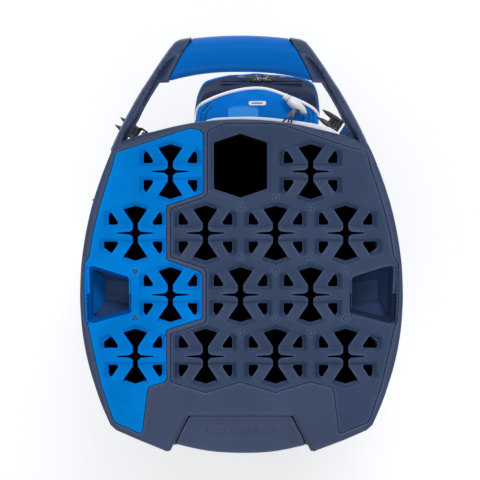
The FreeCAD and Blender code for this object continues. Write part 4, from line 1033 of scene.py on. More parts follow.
def insert(name, outline, cells, pegs, hand, sign, material, replaces, putter):
    loops = [(grow(outline, -0.35), 0.9)]
    for c in cells:
        loops.append((cross(c), 0.55))
        loops += [(relief(c, sx, sy), 0.5) for sx in (1, -1) for sy in (1, -1)]
    loops += [(rounded(peg(*p, 1.16), 1.5, 3), 0.35) for p in pegs]
    loops.append((rounded(grow(hand, 0.2), 3.2), 1.0))
    if putter:
        loops.append((rounded(hexagon(PUTTER, 24.0, 29.0, 21.0), 1.4, 3), 0.7))
    verts, faces, edge = slab(loops, insert_top(cells, sign, putter), 868.25, step=1.35)
    make(name, (swell(verts), faces, edge), material, replaces, sharp=38)


insert("blue_grips", BLUE_R, BLUE_CELLS, BLUE_PEGS, HAND, 1.0, SOFT_BLUE,
       "blue_club_insert", putter=False)
insert("navy_grips", NAVY_R, NAVY_CELLS, NAVY_PEGS, mirror(HAND), -1.0, SOFT_NAVY,
       "navy_club_insert", putter=True)


# ------------------------------------------------------------------ carry handle grip
def grip_section(s):
    """Slightly flat-topped section in (y, z); s is 0 at the middle and 1 at the ends."""
    rear = -190.0 + 8.0 * s ** 2.6
    front = -222.2 + 2.6 * s ** 2
    mid_y, half_y = (rear + front) / 2, (rear - front) / 2
    mid_z, half_z = 909.6, 15.6 + 1.0 * s ** 2
    power = 0.84
    out = []
    for angle in circle(56):
        c, q = math.cos(angle), math.sin(angle)
        out.append((mid_y + half_y * math.copysign(abs(c) ** power, c),
                    mid_z + half_z * math.copysign(abs(q) ** power, q)))
    return np.array(out)


def grip():
    """Sleeve whose ends follow the seams of the two arms."""
    along = [-1.0] + list(np.linspace(-1, 1, 61)) + [1.0]
    scales = [0.86, 0.965] + [1.0] * 59 + [0.965, 0.86]
    rings = []
    for u, scale in zip(along, scales):
        section = grip_section(abs(u))
        centre = section.mean(0)
        section = centre + (section - centre) * scale
        end = np.interp(section[:, 0], [-222.0, -200.9, -181.0], [41.5, 53.0, 63.9])
        rings.append(np.column_stack([u * end, section]))
    return loft(rings)


make("grip_sleeve", grip(), GRIP_BLUE, "handle_grip", sharp=50)

# ------------------------------------------------------------------ rear plate
plate_arc = list(smooth_run([(56.2, 142.6), (30, 148.2), (0, 150.2), (-30, 148.8),
                             (-56.6, 143.4)], 31))
PLATE = rounded([(-44.9, 118.2), (44.9, 118.2), (54.8, 137.0)] + plate_arc + [(-54.8, 137.0)],
                [3.0, 3.0, 1.0] + [0.0] * 31 + [1.0], 5)
MARKS = [rounded([(x - 8.6, 126.3), (x + 8.6, 126.3), (x + 8.6, 133.4), (x - 8.6, 133.4)], 3.4, 6)
         for x in (-22.0, 0.0, 22.0)]


def plate_top(pts, dist, loop):
    """Rising to the rear, with three raised marks and a groove inside the edge."""
    z = PLATE_TOP + 0.5 * unit((pts[:, 1] - 118) / 30)
    to_mark = nearest(np.vstack([resample(m, 0.4) for m in MARKS]), pts)[0]
    z += np.where(inside(MARKS, pts), 0.9 * unit(to_mark / 0.8), 0.0)
    return z - 0.35 * bell(nearest(resample(PLATE, 0.5), pts)[0], 3.4, 0.45)


make("rear_plate", slab([(grow(PLATE, 0.8), 0.7)], plate_top, 862.25, step=1.1), PANEL_NAVY,
     "rear_grip_panel", sharp=40)

# ------------------------------------------------------------------ hand-hold cups
CUP_TOP, CUP_FLOOR = 855.6, 834.0
RIM_FRONT, RIM_BACK = (134.0, -18.4, CUP_TOP), (134.0, 34.0, CUP_TOP)
IN_FRONT, IN_BACK = (99.8, -8.8, CUP_TOP), (99.8, 26.4, CUP_TOP)
FLOOR = [(x, y, CUP_FLOOR) for x, y in ((126.6, -4.6), (126.6, 13.4), (99.8, 17.4), (99.8, -1.6))]
CUP_PANELS = [
    [IN_FRONT, RIM_FRONT, FLOOR[0], FLOOR[3]],      # front
    [RIM_BACK, IN_BACK, FLOOR[2], FLOOR[1]],        # back
    [IN_BACK, IN_FRONT, FLOOR[3], FLOOR[2]],        # inner
    FLOOR]
CUP_OUTER = [RIM_FRONT, RIM_BACK, FLOOR[1], FLOOR[0]]


def panel(quad):
    """A thin, slightly dished plate over a quad, thickened away from its upper side."""
    thick, cells, dish = 1.6, 8, 0.5
    q = [np.array(p, float) for p in quad]
    normal = np.cross(q[1] - q[0], q[3] - q[0])
    normal /= np.linalg.norm(normal)
    if normal[2] < 0:
        normal = -normal
    row = cells + 1
    verts, faces = [], []
    for s in (0, 1):
        for i in range(row):
            for j in range(row):
                a, b = i / cells, j / cells
                p = (1 - a) * ((1 - b) * q[0] + b * q[3]) + a * ((1 - b) * q[1] + b * q[2])
                sag = dish * math.sin(math.pi * a) * math.sin(math.pi * b)
                verts.append(tuple(p - normal * thick * s - normal * sag))

    def idx(s, i, j):
        return s * row * row + i * row + j

    for i in range(cells):
        for j in range(cells):
            faces.append((idx(0, i, j), idx(0, i + 1, j), idx(0, i + 1, j + 1), idx(0, i, j + 1)))
            faces.append((idx(1, i, j), idx(1, i, j + 1), idx(1, i + 1, j + 1), idx(1, i + 1, j)))
    n = cells
    for i in range(cells):
        faces.append((idx(0, i + 1, 0), idx(0, i, 0), idx(1, i, 0), idx(1, i + 1, 0)))
        faces.append((idx(0, i, n), idx(0, i + 1, n), idx(1, i + 1, n), idx(1, i, n)))
        faces.append((idx(0, 0, i), idx(0, 0, i + 1), idx(1, 0, i + 1), idx(1, 0, i)))
        faces.append((idx(0, n, i + 1), idx(0, n, i), idx(1, n, i), idx(1, n, i + 1)))
    return verts, faces


def cup(name, side, replaces):
    panels = CUP_PANELS + ([CUP_OUTER] if side == -1 else [])
    parts = [panel(quad) for quad in panels]
    # beads along the creases
    for a, b in ((FLOOR[0], FLOOR[1]), (FLOOR[0], FLOOR[3]), (FLOOR[1], FLOOR[2]),
                 (FLOOR[0], RIM_FRONT), (FLOOR[1], RIM_BACK)):
        a, b = np.array(a), np.array(b)
        parts.append(tube([a + (b - a) * t for t in np.linspace(0, 1, 5)], 0.45, 8))
    verts, faces, edge = join(parts)
    verts = [(x * side, y, z) for x, y, z in verts]
    swell_mesh(make(name, (verts, faces, edge), CUP_NAVY, replaces, sharp=30))


def cup_wall():
    """Outer wall of the left cup, leaning in from the rim to the floor."""
    foot_x, slope = 124.4, 2.1
    plan = rounded([(133.8, -15.4), (133.8, 30.6), (foot_x, 14.3), (foot_x, -5.0)],
                   [2.5, 2.5, 0.6, 0.6], 5)
    part = slab([(plan, 0.7)], lambda pts, dist, loop: 835.4 + (pts[:, 0] - foot_x) * slope,
                lambda pts: 833.9 + (pts[:, 0] - foot_x) * slope, step=1.4)
    swell_mesh(make("left_cup_wall", part, CUP_BLUE, "left_handhold_cup", sharp=40))


cup("left_cup", 1, "left_handhold_cup")
cup_wall()
cup("right_cup", -1, "right_handhold_cup")


def lip(name, side, material, slot):
    """Turned-down edge of a hand-hold opening."""
    high = rounded([HAND[0], (99.3, -6.9), (99.3, 24.1), HAND[3]], 4.0, 5)
    low = rounded([(132.4, -14.1), (101, -4.6), (101, 21), (132.4, 29.2)], 3.4, 5)
    high_out, low_out = grow(high, 1.3), grow(low, 1.3)
    # each run blends one loop into the next: (share, z)
    runs = [
        (high, low, ((0.0, 876.6), (0.06, 875.6), (0.22, 873.8), (0.44, 871.6), (0.66, 869.4),
                     (0.86, 867.4), (0.97, 866.5))),
        (low, low_out, ((0.25, 866.0), (0.7, 866.0), (1.0, 866.6))),
        (low_out, high_out, ((0.4, 870.2), (0.8, 874.0), (1.0, 875.4)))]
    rings = [at_height((a + (b - a) * t) * [side, 1], z) for a, b, steps in runs
             for t, z in steps]
    swell_mesh(make(name, join([wrap(rings, flip=side < 0)]), material, sharp=50))


lip("left_lip", 1, SHADED_LIP_BLUE, "blue_grip_rubber")
lip("right_lip", -1, SHADED_LIP_NAVY, "navy_grip_rubber")

# ------------------------------------------------------------------ soft goods helpers
TUBE_RUN = smooth_run(TUBE + mirror(TUBE[1:-1])[::-1], 240, True)


def tube_y(x, out, front=True):
    """y of the body tube, grown by out, on its front or rear face."""
    run = grow(TUBE_RUN, out)
    run = run[((run[:, 1] < 0) == front) & (np.abs(run[:, 0]) < 112)]
    run = run[np.argsort(run[:, 0])]
    return float(np.interp(x, run[:, 0], run[:, 1]))


def wave_noise(points, scale, seed):
    """Smooth repeatable noise from a few fixed waves, about -1 to 1."""
    points = np.asarray(points, float) / scale
    out = np.zeros(len(points))
    rng = np.random.RandomState(int(seed * 13) + 7)
    for i in range(7):
        way = rng.normal(size=points.shape[1]) * (0.8 + 0.35 * i)
        out += np.sin(points @ way + rng.uniform(0, 6.28)) / (1 + 0.35 * i)
    return out / 3.2


def ruffle(ob, amount, stretch, scale, seed):
    """Moves a mesh along its normals by noise."""
    co, normal = coords(ob), normals(ob)
    set_coords(ob, co + normal * (amount * wave_noise(co * stretch, scale, seed))[:, None])


def apply_modifier(ob, kind, **props):
    bpy.ops.object.select_all(action="DESELECT")
    ob.select_set(True)
    bpy.context.view_layer.objects.active = ob
    modifier = ob.modifiers.new("work", kind)
    for key, value in props.items():
        setattr(modifier, key, value)
    bpy.ops.object.modifier_apply(modifier="work")


def inflate(ob, voxel, pressure, cap, pin):
    """Remesh, then a short pressurised cloth run; the swell is capped in mm and kept."""
    frames, stiffness = 20, 12.0
    apply_modifier(ob, "REMESH", mode="VOXEL", voxel_size=voxel * MM, use_smooth_shade=True)
    before = coords(ob)
    group = ob.vertex_groups.new(name="pin")
    group.add([int(i) for i in np.nonzero(pin(before))[0]], 1.0, "REPLACE")
    modifier = ob.modifiers.new("cloth", "CLOTH")
    s = modifier.settings
    s.quality = 5
    s.mass = 0.3
    s.tension_stiffness = s.compression_stiffness = stiffness
    s.shear_stiffness = stiffness * 0.6
    s.bending_stiffness = 0.4
    s.effector_weights.gravity = 0.0
    s.use_pressure = True
    s.uniform_pressure_force = pressure
    s.vertex_group_mass = "pin"
    modifier.point_cache.frame_start = 1
    modifier.point_cache.frame_end = frames
    for f in range(1, frames + 1):
        SCENE.frame_set(f)
    after = coords(ob.evaluated_get(bpy.context.evaluated_depsgraph_get()))
    ob.modifiers.remove(modifier)
    SCENE.frame_set(1)
    shift = after - before
    length = np.linalg.norm(shift, axis=1)
    scale = np.where(length > 1e-6, cap * np.tanh(length / cap) / np.maximum(length, 1e-6), 0.0)
    # guards against a cloth run that diverged
    if np.isfinite(after).all():
        set_coords(ob, before + shift * scale[:, None])
    ob.vertex_groups.clear()


def soft(name, part, material, voxel, pressure, cap, pin):
    ob = make(name, part, material, sharp=40, body=None)
    inflate(ob, voxel, pressure, cap, pin)
    apply_modifier(ob, "SUBSURF", levels=1, render_levels=1)
    return ob


def channel(ob, paths, width, depth):
    """Presses stitched lines into a soft mesh and marks them in the seam attribute."""
    samples = np.vstack([dots(path, 1.5) for path in paths])
    tree = KDTree(len(samples))
    for i, p in enumerate(samples):
        tree.insert(tuple(p), i)
    tree.balance()
    co, normal = coords(ob), normals(ob)
    distance = np.array([tree.find(tuple(c))[2] for c in co])
    set_coords(ob, co - normal * (bell(distance, 0, width) * depth)[:, None])
    old = np.zeros(len(co))
    layer = ob.data.attributes.get("seam")
    if layer is not None:
        layer.data.foreach_get("value", old)
    put_attr(ob, "seam", np.maximum(old, bell(distance, 0, width * 0.45)))


def surface_tree(ob):
    return BVHTree.FromPolygons([tuple(v.co) for v in ob.data.vertices],
                                [tuple(p.vertices) for p in ob.data.polygons])


def metres(point):
    return Vector([c * MM for c in point])


def snap(ob, path, lift=0.0):
    """Moves path points onto a mesh's surface, lifted along its normal."""
    tree = surface_tree(ob)
    hits = [tree.find_nearest(metres(p)) for p in path]
    return np.array([np.array(hit[0]) / MM + np.array(hit[1]) * lift for hit in hits])


def shoot(ob, path, way, lift=0.0, reach=3):
    """Points moved along a direction on to a mesh, averaged over reach neighbours each side."""
    tree = surface_tree(ob)
    way = np.array(way, float)
    way /= np.linalg.norm(way)
    out = []
    for p in path:
        spot = tree.ray_cast(metres(p), Vector(way))[0]
        if spot is None:
            spot = tree.find_nearest(metres(p))[0]
        out.append(np.array(spot) / MM - way * lift)
    padded = np.pad(np.array(out), ((reach, reach), (0, 0)), mode="edge")
    kernel = np.ones(2 * reach + 1) / (2 * reach + 1)
    return np.stack([np.convolve(column, kernel, "valid") for column in padded.T], 1)


def drop_on(ob, plan, lift=0.0):
    """Plan points dropped from above on to a mesh; misses are left out."""
    tree = surface_tree(ob)
    out = []
    for x, y in plan:
        hit = tree.ray_cast(metres((x, y, 760.0)), Vector((0, 0, -1)))[0]
        if hit is not None:
            out.append((x, y, hit[2] / MM + lift))
    return np.array(out)


def press_flat(ob, frame, half_x, half_y):
    """Flattens the fabric under a zip so that its tape lies on it."""
    turn, origin = frame[:3, :3], frame[:3, 3]
    local = (coords(ob) - origin) @ turn
    past_x = np.maximum(np.abs(local[:, 0]) - half_x, 0)
    past_y = np.maximum(np.abs(local[:, 1]) - half_y, 0)
    z = local[:, 2]
    near = (past_x < 20) & (past_y < 14) & (z > -14) & (z < 14)
    limit = 0.12 + 0.35 * past_x + 0.42 * past_y
    flatter = np.where(near, np.minimum(z, limit), z)
    under = near & (past_x == 0) & (past_y == 0) & (z > -6)
    local[:, 2] = np.where(under, 0.12, flatter)
    set_coords(ob, local @ turn.T + origin)


# zip frames: X along the zip, Z out of the fabric
UPPER_ZIP = axes((-21.0, -193.7, 721.5), (1, 0, 0), (0.0, -40.0, 13.0))
LOWER_ZIP = axes((-17.0, -199.1, 525.0), (1, 0, 0), (0.0, -46.0, 16.0))
SIDE_ZIP = {s: axes((s * 148.301, -79.651, 360.0), (0, 0, 1), (s * 0.8611, -0.5084, 0.0))
            for s in (1, -1)}


# ------------------------------------------------------------------ front pockets
def pocket_level(z, plan, profile):
    """Plan points at height z, moved so that the pocket's nose follows the (y, z) profile."""
    profile = np.array(sorted(profile, key=lambda p: p[1]))
    nose = profile[:, 0].min()
    front = np.interp(z, profile[:, 1], profile[:, 0])
    out = []
    for x, y in plan:
        back = tube_y(x, 1.5)
        share = np.clip((y - back) / (nose - back), 0, 1.2)
        out.append((x, y + (front - nose) * share, z))
    return out


def pocket_part(plan, profile, low, high, levels):
    """Closed pocket with its back flat against the body tube."""
    front = even(plan, 90)
    back = [(x, tube_y(x, 1.5)) for x in np.linspace(front[-1][0], front[0][0], 26)[1:-1]]
    return loft([pocket_level(z, front, profile) + [(x, y, z) for x, y in back]
                 for z in np.linspace(low, high, levels)])


def pocket_piping(name, ob, plan, profile, z, lift, radius, material):
    path = snap(ob, pocket_level(z, even(plan, 60), profile), lift)
    cloth(name, tube(smooth_run(path, 150), radius, 8), material)


UPPER_PLAN = rounded(
    [(-75.4, -142), (-75.6, -160), (-72.2, -196.2), (-58, -200), (-38, -202.6), (-15, -204.4),
     (8, -202.8), (24, -200.2), (36.4, -197.2), (40.4, -180), (43.6, -160), (43.6, -141)],
    [0, 8, 4, 20, 60, 60, 60, 20, 4, 10, 8, 0], 6)
UPPER_PROFILE = [(-187.6, 741.3), (-193.8, 722.5), (-197.8, 713), (-203.6, 703.5),
                 (-204.8, 694), (-204, 650), (-200.4, 600), (-189.5, 567)]
# white piping round the lid, and stitched arcs on it
LID_PIPE = smooth_run(
    [(43.4, -156), (42.6, -164.2), (39.9, -169.6), (32.3, -174.9), (22, -179.4),
     (11.7, -182.9), (-2, -186.1), (-14.4, -187.3), (-26.8, -186.2), (-43.3, -180.2),
     (-55, -175.6), (-63.8, -171.4), (-70.9, -166.8), (-74.6, -162), (-75.6, -155)], 160)
LID_ARCS = [
    [(-57, -171.6), (-62.6, -167.6), (-65.6, -161.6), (-65, -153)],
    [(-61.5, -172.6), (-67.4, -167.2), (-70.4, -160.6), (-69.6, -152)],
    [(-52, -169.4), (-58.4, -165.2), (-61.2, -160), (-59.4, -155.6), (-52, -153.6),
     (-36, -153.6)],
    [(37, -150), (37.8, -160), (35.8, -166.4), (30.6, -171)],
    [(33, -150), (33.8, -159), (32, -164.6), (27.6, -168.6)]]


def behind_pipe(plan):
    """Signed plan distance to the lid piping, positive on the lid."""
    lid = np.vstack([LID_PIPE, [(-75.6, -120.0), (43.4, -120.0)]])
    distance = nearest(even(LID_PIPE, 500), plan)[0]
    return np.where(inside([lid], plan), distance, -distance)


def upper_pocket():
    ob = soft("front_pocket_upper",
              pocket_part(UPPER_PLAN, UPPER_PROFILE, 567.0, 741.3, levels=30), UPPER_CLOTH,
              voxel=4.0, pressure=2.2, cap=2.2, pin=lambda co: co[:, 1] > -156)
    amount = 0.7 * (0.3 + 0.7 * unit((coords(ob)[:, 2] - 728) / 10))
    ruffle(ob, amount, [1, 1.6, 1], scale=14.0, seed=1)
    channel(ob, [drop_on(ob, smooth_run(arc, 40)) for arc in LID_ARCS], width=1.3, depth=1.0)
    press_flat(ob, UPPER_ZIP, 38.0, 6.6)
    co = coords(ob)
    zone = np.where(co[:, 2] > 726.0, behind_pipe(co[:, :2]), -5.0)
    put_attr(ob, "zone", np.maximum(zone, np.clip(704.0 - co[:, 2], -5, 5)))
    weave_attrs(ob)
    settle(ob, "bag", "upper_pocket")
    seams = [tube(drop_on(ob, smooth_run(arc, 40), -0.05), 0.42, 6) for arc in LID_ARCS]
    cloth("lid_seam_lines", merge(seams), SEAM_BLUE)
    run = drop_on(ob, LID_PIPE, 0.75)
    run = run[run[:, 2] > 715]
    run[:, 2] = np.convolve(np.pad(run[:, 2], 4, mode="edge"), np.ones(9) / 9, "valid")
    cloth("lid_piping", tube(smooth_run(run[::4], 150), 1.5, 10), TRIM,
          "pocket_piping")
    line = [p for p in UPPER_PLAN if p[1] < -150]
    pocket_piping("band_piping", ob, line, UPPER_PROFILE, 703.0, 0.3, 1.1, POCKET_BLUE)
    pocket_piping("foot_piping", ob, line, UPPER_PROFILE, 572.0, 0.4, 1.4, TRIM)


def loop_tab():
    """Tab on the lid with a frayed front edge."""
    rng = np.random.RandomState(4)

    def fray_y(x, base):
        return base - 2.6 * math.cos((x + 2.6) / 15.0 * 1.4)

    plan = [(-17.0, -148.5), (-17.2, -165.6)]
    plan += [(x, fray_y(x, -166.9) + rng.uniform(-0.5, 0.5)) for x in np.linspace(-16.2, 11.0, 34)]
    plan += [(11.8, -165.6), (11.6, -148.5)]

    def top(pts, dist, loop):
        return 743.9 + 0.35 * wave_noise(pts, 3.0, 3) - 0.5 * bell(pts[:, 1], -157.6, 0.5)

    parts = [slab([(plan, 0.7)], top, 741.2, step=0.9, bstep=0.7)]
    for _ in range(150):
        x = rng.uniform(-16.5, 11.2)
        angle = rng.uniform(-1.0, 1.0)
        length = rng.uniform(0.9, 2.2)
        root = np.array([x, fray_y(x, -166.7) + 0.8, 743.4 + rng.uniform(-0.4, 0.5)])
        end = root + np.array([math.sin(angle) * length * 0.6, -math.cos(angle) * length,
                               rng.uniform(0.0, 0.8)])
        middle = (root + end) / 2 + np.array([rng.uniform(-0.3, 0.3), 0, 0.3])
        parts.append(tube([root, middle, end], 0.13, 4))
    cloth("loop_tab", merge(parts), TAB_BLUE, "glove_tab", sharp=50, mode="xy")


def sewn_bar():
    """Slotted bar on the lid."""
    outer = rounded([(-8, -174.4), (-24.6, -174.4), (-24.6, -170.4), (-8, -170.4)], 1.9, 6)
    inner = rounded([(-10.4, -173.2), (-21.4, -173.2), (-21.4, -171.8), (-10.4, -171.8)], 0.65, 4)
    part = slab([(outer, 0.4), (inner, 0.3)], flat(744.4), 741.5, step=1.2, bstep=0.8)
    cloth("sewn_bar", part, TRIM, sharp=50, mode="xy")


LOWER_PLAN = rounded(
    [(-80.4, -138), (-80.2, -160), (-77, -200), (-42, -209.6), (-17, -211), (8, -209.6),
     (43, -200), (46.4, -160), (46.6, -139.5)], [0, 8, 12, 80, 80, 80, 12, 8, 0], 6)
LOWER_PROFILE = [(-190, 547), (-193, 540), (-206, 502), (-210, 400), (-210, 180), (-205, 110),
                 (-196, 71)]


def front_seam(x):
    """Height of the arched seam across the lower pocket."""
    return 300.0 - 26.0 * ((x + 17) / 60) ** 2


def lower_pocket():
    ob = soft("front_pocket_lower",
              pocket_part(LOWER_PLAN, LOWER_PROFILE, 71.0, 547.0, levels=60), LOWER_CLOTH,
              voxel=5.0, pressure=2.6, cap=3.2, pin=lambda co: co[:, 1] > -158)
    ruffle(ob, 0.8, [1.3, 1, 0.5], scale=20.0, seed=2)
    arch = [(x, -240.0, front_seam(x)) for x in np.linspace(-76, 42, 60)]
    sides = [[(x + bow_x * math.sin((z - 120) / 170 * 3.14), -240.0, z)
              for z in np.linspace(96, 290, 80)] for x, bow_x in ((-54.0, 6), (20.0, -6))]
    channel(ob, [shoot(ob, path, (0, 1, 0)) for path in [arch] + sides], width=2.2, depth=1.6)
    press_flat(ob, LOWER_ZIP, 46.0, 6.6)
    co = coords(ob)
    band = np.minimum(498.0 - co[:, 2], co[:, 2] - front_seam(co[:, 0]))
    put_attr(ob, "zone", np.clip(band, -5, 5))
    weave_attrs(ob)
    settle(ob, "bag", "lower_pocket")
    line = [p for p in LOWER_PLAN if p[1] < -146]
    for name, z, radius, material, slot in (
            ("lower_lid_piping", 545.0, 1.6, TRIM, "white_trim"),
            ("lower_band_piping", 498.0, 1.3, POCKET_BLUE, "pocket_blue_fabric"),
            ("lower_foot_piping", 77.0, 1.6, TRIM, "white_trim")):
        pocket_piping(name, ob, line, LOWER_PROFILE, z, 0.5, radius, material)
    path = shoot(ob, [(x, -240.0, front_seam(x)) for x in np.linspace(-77, 43, 80)], (0, 1, 0),
                 0.7)
    cloth("front_seam_piping", tube(smooth_run(path, 90), 1.2, 8), TRIM)


upper_pocket()
loop_tab()
sewn_bar()
lower_pocket()

# ------------------------------------------------------------------ body shell
SHELL_LOW, SHELL_TOP = 8.8, 855.3


def shell_part():
    """Outer skin with slow waves and an inner skin, joined at top and base."""
    count = 300
    out = even(TUBE_RUN, count, True)
    normal = side_normals(out)
    levels = np.unique(np.concatenate([[SHELL_LOW, 9.4, 11.0], np.arange(16.0, 850.0, 6.5),
                                       [851.0, 854.4, SHELL_TOP]]))
    rings = []
    for z in levels:
        wave = 0.9 * wave_noise(at_height(out, z) * [1, 1, 0.35], 34.0, 5)
        wave = wave * min(1, (z - 8) / 60) * min(1, (855.5 - z) / 40)
        edge = 0.0 if 9 < z < 855 else -0.5
        rings.append(at_height(out + normal * (wave + edge)[:, None], z))
    inner = even(grow(TUBE_RUN, -2.4), count, True)
    start = int(np.argmin(np.linalg.norm(inner - out[0], axis=1)))
    inner = np.roll(inner, -start, 0)
    rings += [at_height(inner, z) for z in (SHELL_TOP, 430.0, SHELL_LOW)]
    return loft(rings + [rings[0]], caps=False)


def wall_angle(co):
    """Degrees round the wall from the front, the same on both sides."""
    return np.degrees(np.arctan2(np.abs(co[:, 0]), -co[:, 1]))


# blue flank panels: angle limits and edge heights by angle
PANEL_FROM, PANEL_TO = 48.0, 118.0


def panel_top(angle):
    return 772.0 - 0.010 * (angle - 83.0) ** 2


def panel_low(angle):
    return 640.0 + 0.006 * (angle - 83.0) ** 2


def body_shell():
    ob = make("shell", shell_part(), SHELL_CLOTH, sharp=40, body=None)
    heights = np.linspace(12, 852, 200)
    for side in (1, -1):
        paths = []
        for front, knots, half in ((True, [10, 300, 620, 855], [96, 103, 96, 90]),
                                   (False, [10, 855], [82, 78])):
            xs = [side * np.interp(z, knots, half) for z in heights]
            paths.append([(x, tube_y(x, 0.0, front), z) for x, z in zip(xs, heights)])
        channel(ob, paths, width=2.0, depth=1.1)
    co = coords(ob)
    angle = wall_angle(co)
    zone = np.min([co[:, 2] - panel_low(angle), panel_top(angle) - co[:, 2],
                   (angle - PANEL_FROM) * 2.2, (PANEL_TO - angle) * 2.2], 0)
    put_attr(ob, "zone", np.clip(zone, -5, 5))
    weave_attrs(ob)
    settle(ob, "bag", "body_shell")
    return ob


def flank_piping(shell, name, side):
    """White cord round a flank panel, laid on the shell."""
    wall = np.array(TUBE_RUN)
    angle = wall_angle(wall)
    chosen = (angle > 40) & (angle < 126) & (wall[:, 0] * side > 0)
    wall, angle = wall[chosen], angle[chosen]
    order = np.argsort(angle)
    wall, angle = wall[order], angle[order]

    def at(a, z):
        return np.interp(a, angle, wall[:, 0]), np.interp(a, angle, wall[:, 1]), z

    turns = np.linspace(PANEL_FROM, PANEL_TO, 90)
    border = [at(a, panel_low(a)) for a in turns]
    border += [at(PANEL_TO, z) for z in
               np.linspace(panel_low(PANEL_TO) + 2, panel_top(PANEL_TO) - 2, 50)]
    border += [at(a, panel_top(a)) for a in turns[::-1]]
    border += [at(PANEL_FROM, z) for z in
               np.linspace(panel_top(PANEL_FROM) - 2, panel_low(PANEL_FROM) + 2, 50)]
    path = snap(shell, [(x + 4 * x / 150, y + 4 * y / 150, z) for x, y, z in border], 0.35)
    cloth(name, tube(smooth_run(path, 360, True), 1.15, 8, True), TRIM)


shell = body_shell()
flank_piping(shell, "flank_piping_left", 1)
flank_piping(shell, "flank_piping_right", -1)

# ------------------------------------------------------------------ front hem
HEM_TOP = 813.0
HEM_OUT = smooth_run([(40.5, -145.5), (34.6, -150.6), (11.7, -155.2), (-12, -155.6),
                      (-36, -153.8), (-71.3, -148.8), (-82.7, -145.8), (-91, -140.6),
                      (-97.6, -133), (-99, -126.5)], 160)


def hem():
    """White bound hem with two stitched rows on its upper face."""
    rings = []
    for x, y in HEM_OUT:
        back = tube_y(x, 1.1)
        width = max(0.8, abs(y - back))
        way = (y - back) / width
        r = min(1.6, width / 2)
        section = [(0, 798.4), (width * 0.5, 798.0), (width - r, 798.1), (width - 0.3 * r, 798.6),
                   (width, 800.0)]
        section += [(width + 0.25 * math.sin((z - 800) / 11.0 * 3.14), z) for z in (803, 806, 809)]
        section += [(width, 811.2), (width - 0.3 * r, 812.5), (width - r, HEM_TOP),
                    (width * 0.5, 813.1), (0, 812.8)]
        rings.append([(x, back + way * s, z) for s, z in section])
    parts = [loft(rings)]
    run = resample(at_height(HEM_OUT, HEM_TOP), 2.6)
    for k in range(3, len(run) - 4):
        pair = run[k:k + 2]
        if np.linalg.norm(pair[1] - pair[0]) > 6:
            continue
        for share in (0.38, 0.72):
            a, b = [np.array([p[0], p[1] * share + tube_y(p[0], 1.1) * (1 - share), 813.1])
                    for p in pair]
            parts.append(tube([a, a + (b - a) * 0.3 + (0, 0, 0.25), a + (b - a) * 0.62], 0.26, 5))
    cloth("hem_binding", merge(parts), TRIM, "front_hem", sharp=50)


hem()

# ------------------------------------------------------------------ side pockets
SIDE_OUT = [(143, -86), (153, -68), (158.6, -43), (160.6, -10), (160.2, 25), (156.2, 58),
            (148, 84)]
SIDE_LOW, SIDE_TOP = 131.5, 598.5


# seams of the blue panel on a side pocket
def side_top(y):
    return 560 - 0.0035 * y * y


def side_foot(y):
    return 172 + 0.003 * y * y


def side_cut(z):
    return 34 + 14 * np.sin(unit((z - 170) / 390) * 3.14)


def side_wall():
    """Stretch of the body tube that a side pocket covers, front to back."""
    run = grow(TUBE_RUN, 1.4)
    run = run[(run[:, 0] > 60) & (run[:, 1] > -99) & (run[:, 1] < 103)]
    return even(run[np.argsort(run[:, 1])], 40)


def side_pocket(side, name, replaces):
    wall = side_wall()
    plan = smooth_run([(wall[0][0] + 11, wall[0][1] + 4)] + SIDE_OUT
                      + [(wall[-1][0] + 4, wall[-1][1] - 1)], 70)
    base_x = np.array([wall[np.argmin(np.abs(wall[:, 1] - y))][0] for y in plan[:, 1]])
    rings = []
    for z in np.linspace(SIDE_LOW, SIDE_TOP, 62):
        full = min(1.0, (z - SIDE_LOW) / 26 + 0.55, (SIDE_TOP - z) / 26 + 0.55)
        full = 1 - (1 - full) ** 2 * 1.2 if full < 1 else 1.0
        outer = np.column_stack([base_x + (plan[:, 0] - base_x) * full, plan[:, 1]])
        rings.append(at_height(np.vstack([outer, wall[::-1]]) * [side, 1], z))
    part = loft(rings)

    def against_wall(co):
        return np.array([np.min(np.hypot(wall[:, 0] - abs(c[0]), wall[:, 1] - c[1]))
                         for c in co]) < 3.0

    ob = soft(name, part if side > 0 else flipped(part), SIDE_CLOTH, voxel=5.0, pressure=2.4,
              cap=2.6, pin=against_wall)
    ruffle(ob, 0.7, [1, 1.2, 0.5], scale=22.0, seed=8 + side)
    inward = (-side, 0, 0)

    def face(y, z):
        return side * 200.0, y, z

    along, up = np.linspace(-62, 84, 80), np.linspace(172, 560, 200)
    paths = [[face(y, side_top(y)) for y in along], [face(y, side_foot(y)) for y in along],
             [face(side_cut(z), z) for z in up], [face(side_cut(z) - 62.0, z) for z in up]]
    channel(ob, [shoot(ob, path, inward) for path in paths], width=2.2, depth=1.5)
    press_flat(ob, SIDE_ZIP[side], 198.0, 6.6)
    co = coords(ob)
    y, z = co[:, 1], co[:, 2]
    zone = np.min([y - side_cut(z), z - side_foot(y), side_top(y) - z], 0)
    put_attr(ob, "zone", np.clip(zone, -5, 5))
    weave_attrs(ob)
    settle(ob, "bag", replaces)
    along = np.linspace(-66, 88, 120)
    for end, path in (("top", [face(y, side_top(y)) for y in along]),
                      ("foot", [face(y, side_foot(y)) for y in along]),
                      ("back", [face(side_cut(z), z) for z in np.linspace(174, 558, 240)])):
        path = even(shoot(ob, path, inward, 0.9, 5), 150)
        cloth(name + "_piping_" + end, tube(path, 1.2, 8), TRIM)


side_pocket(1, "side_pocket_left", "left_pocket")
side_pocket(-1, "side_pocket_right", "right_pocket")


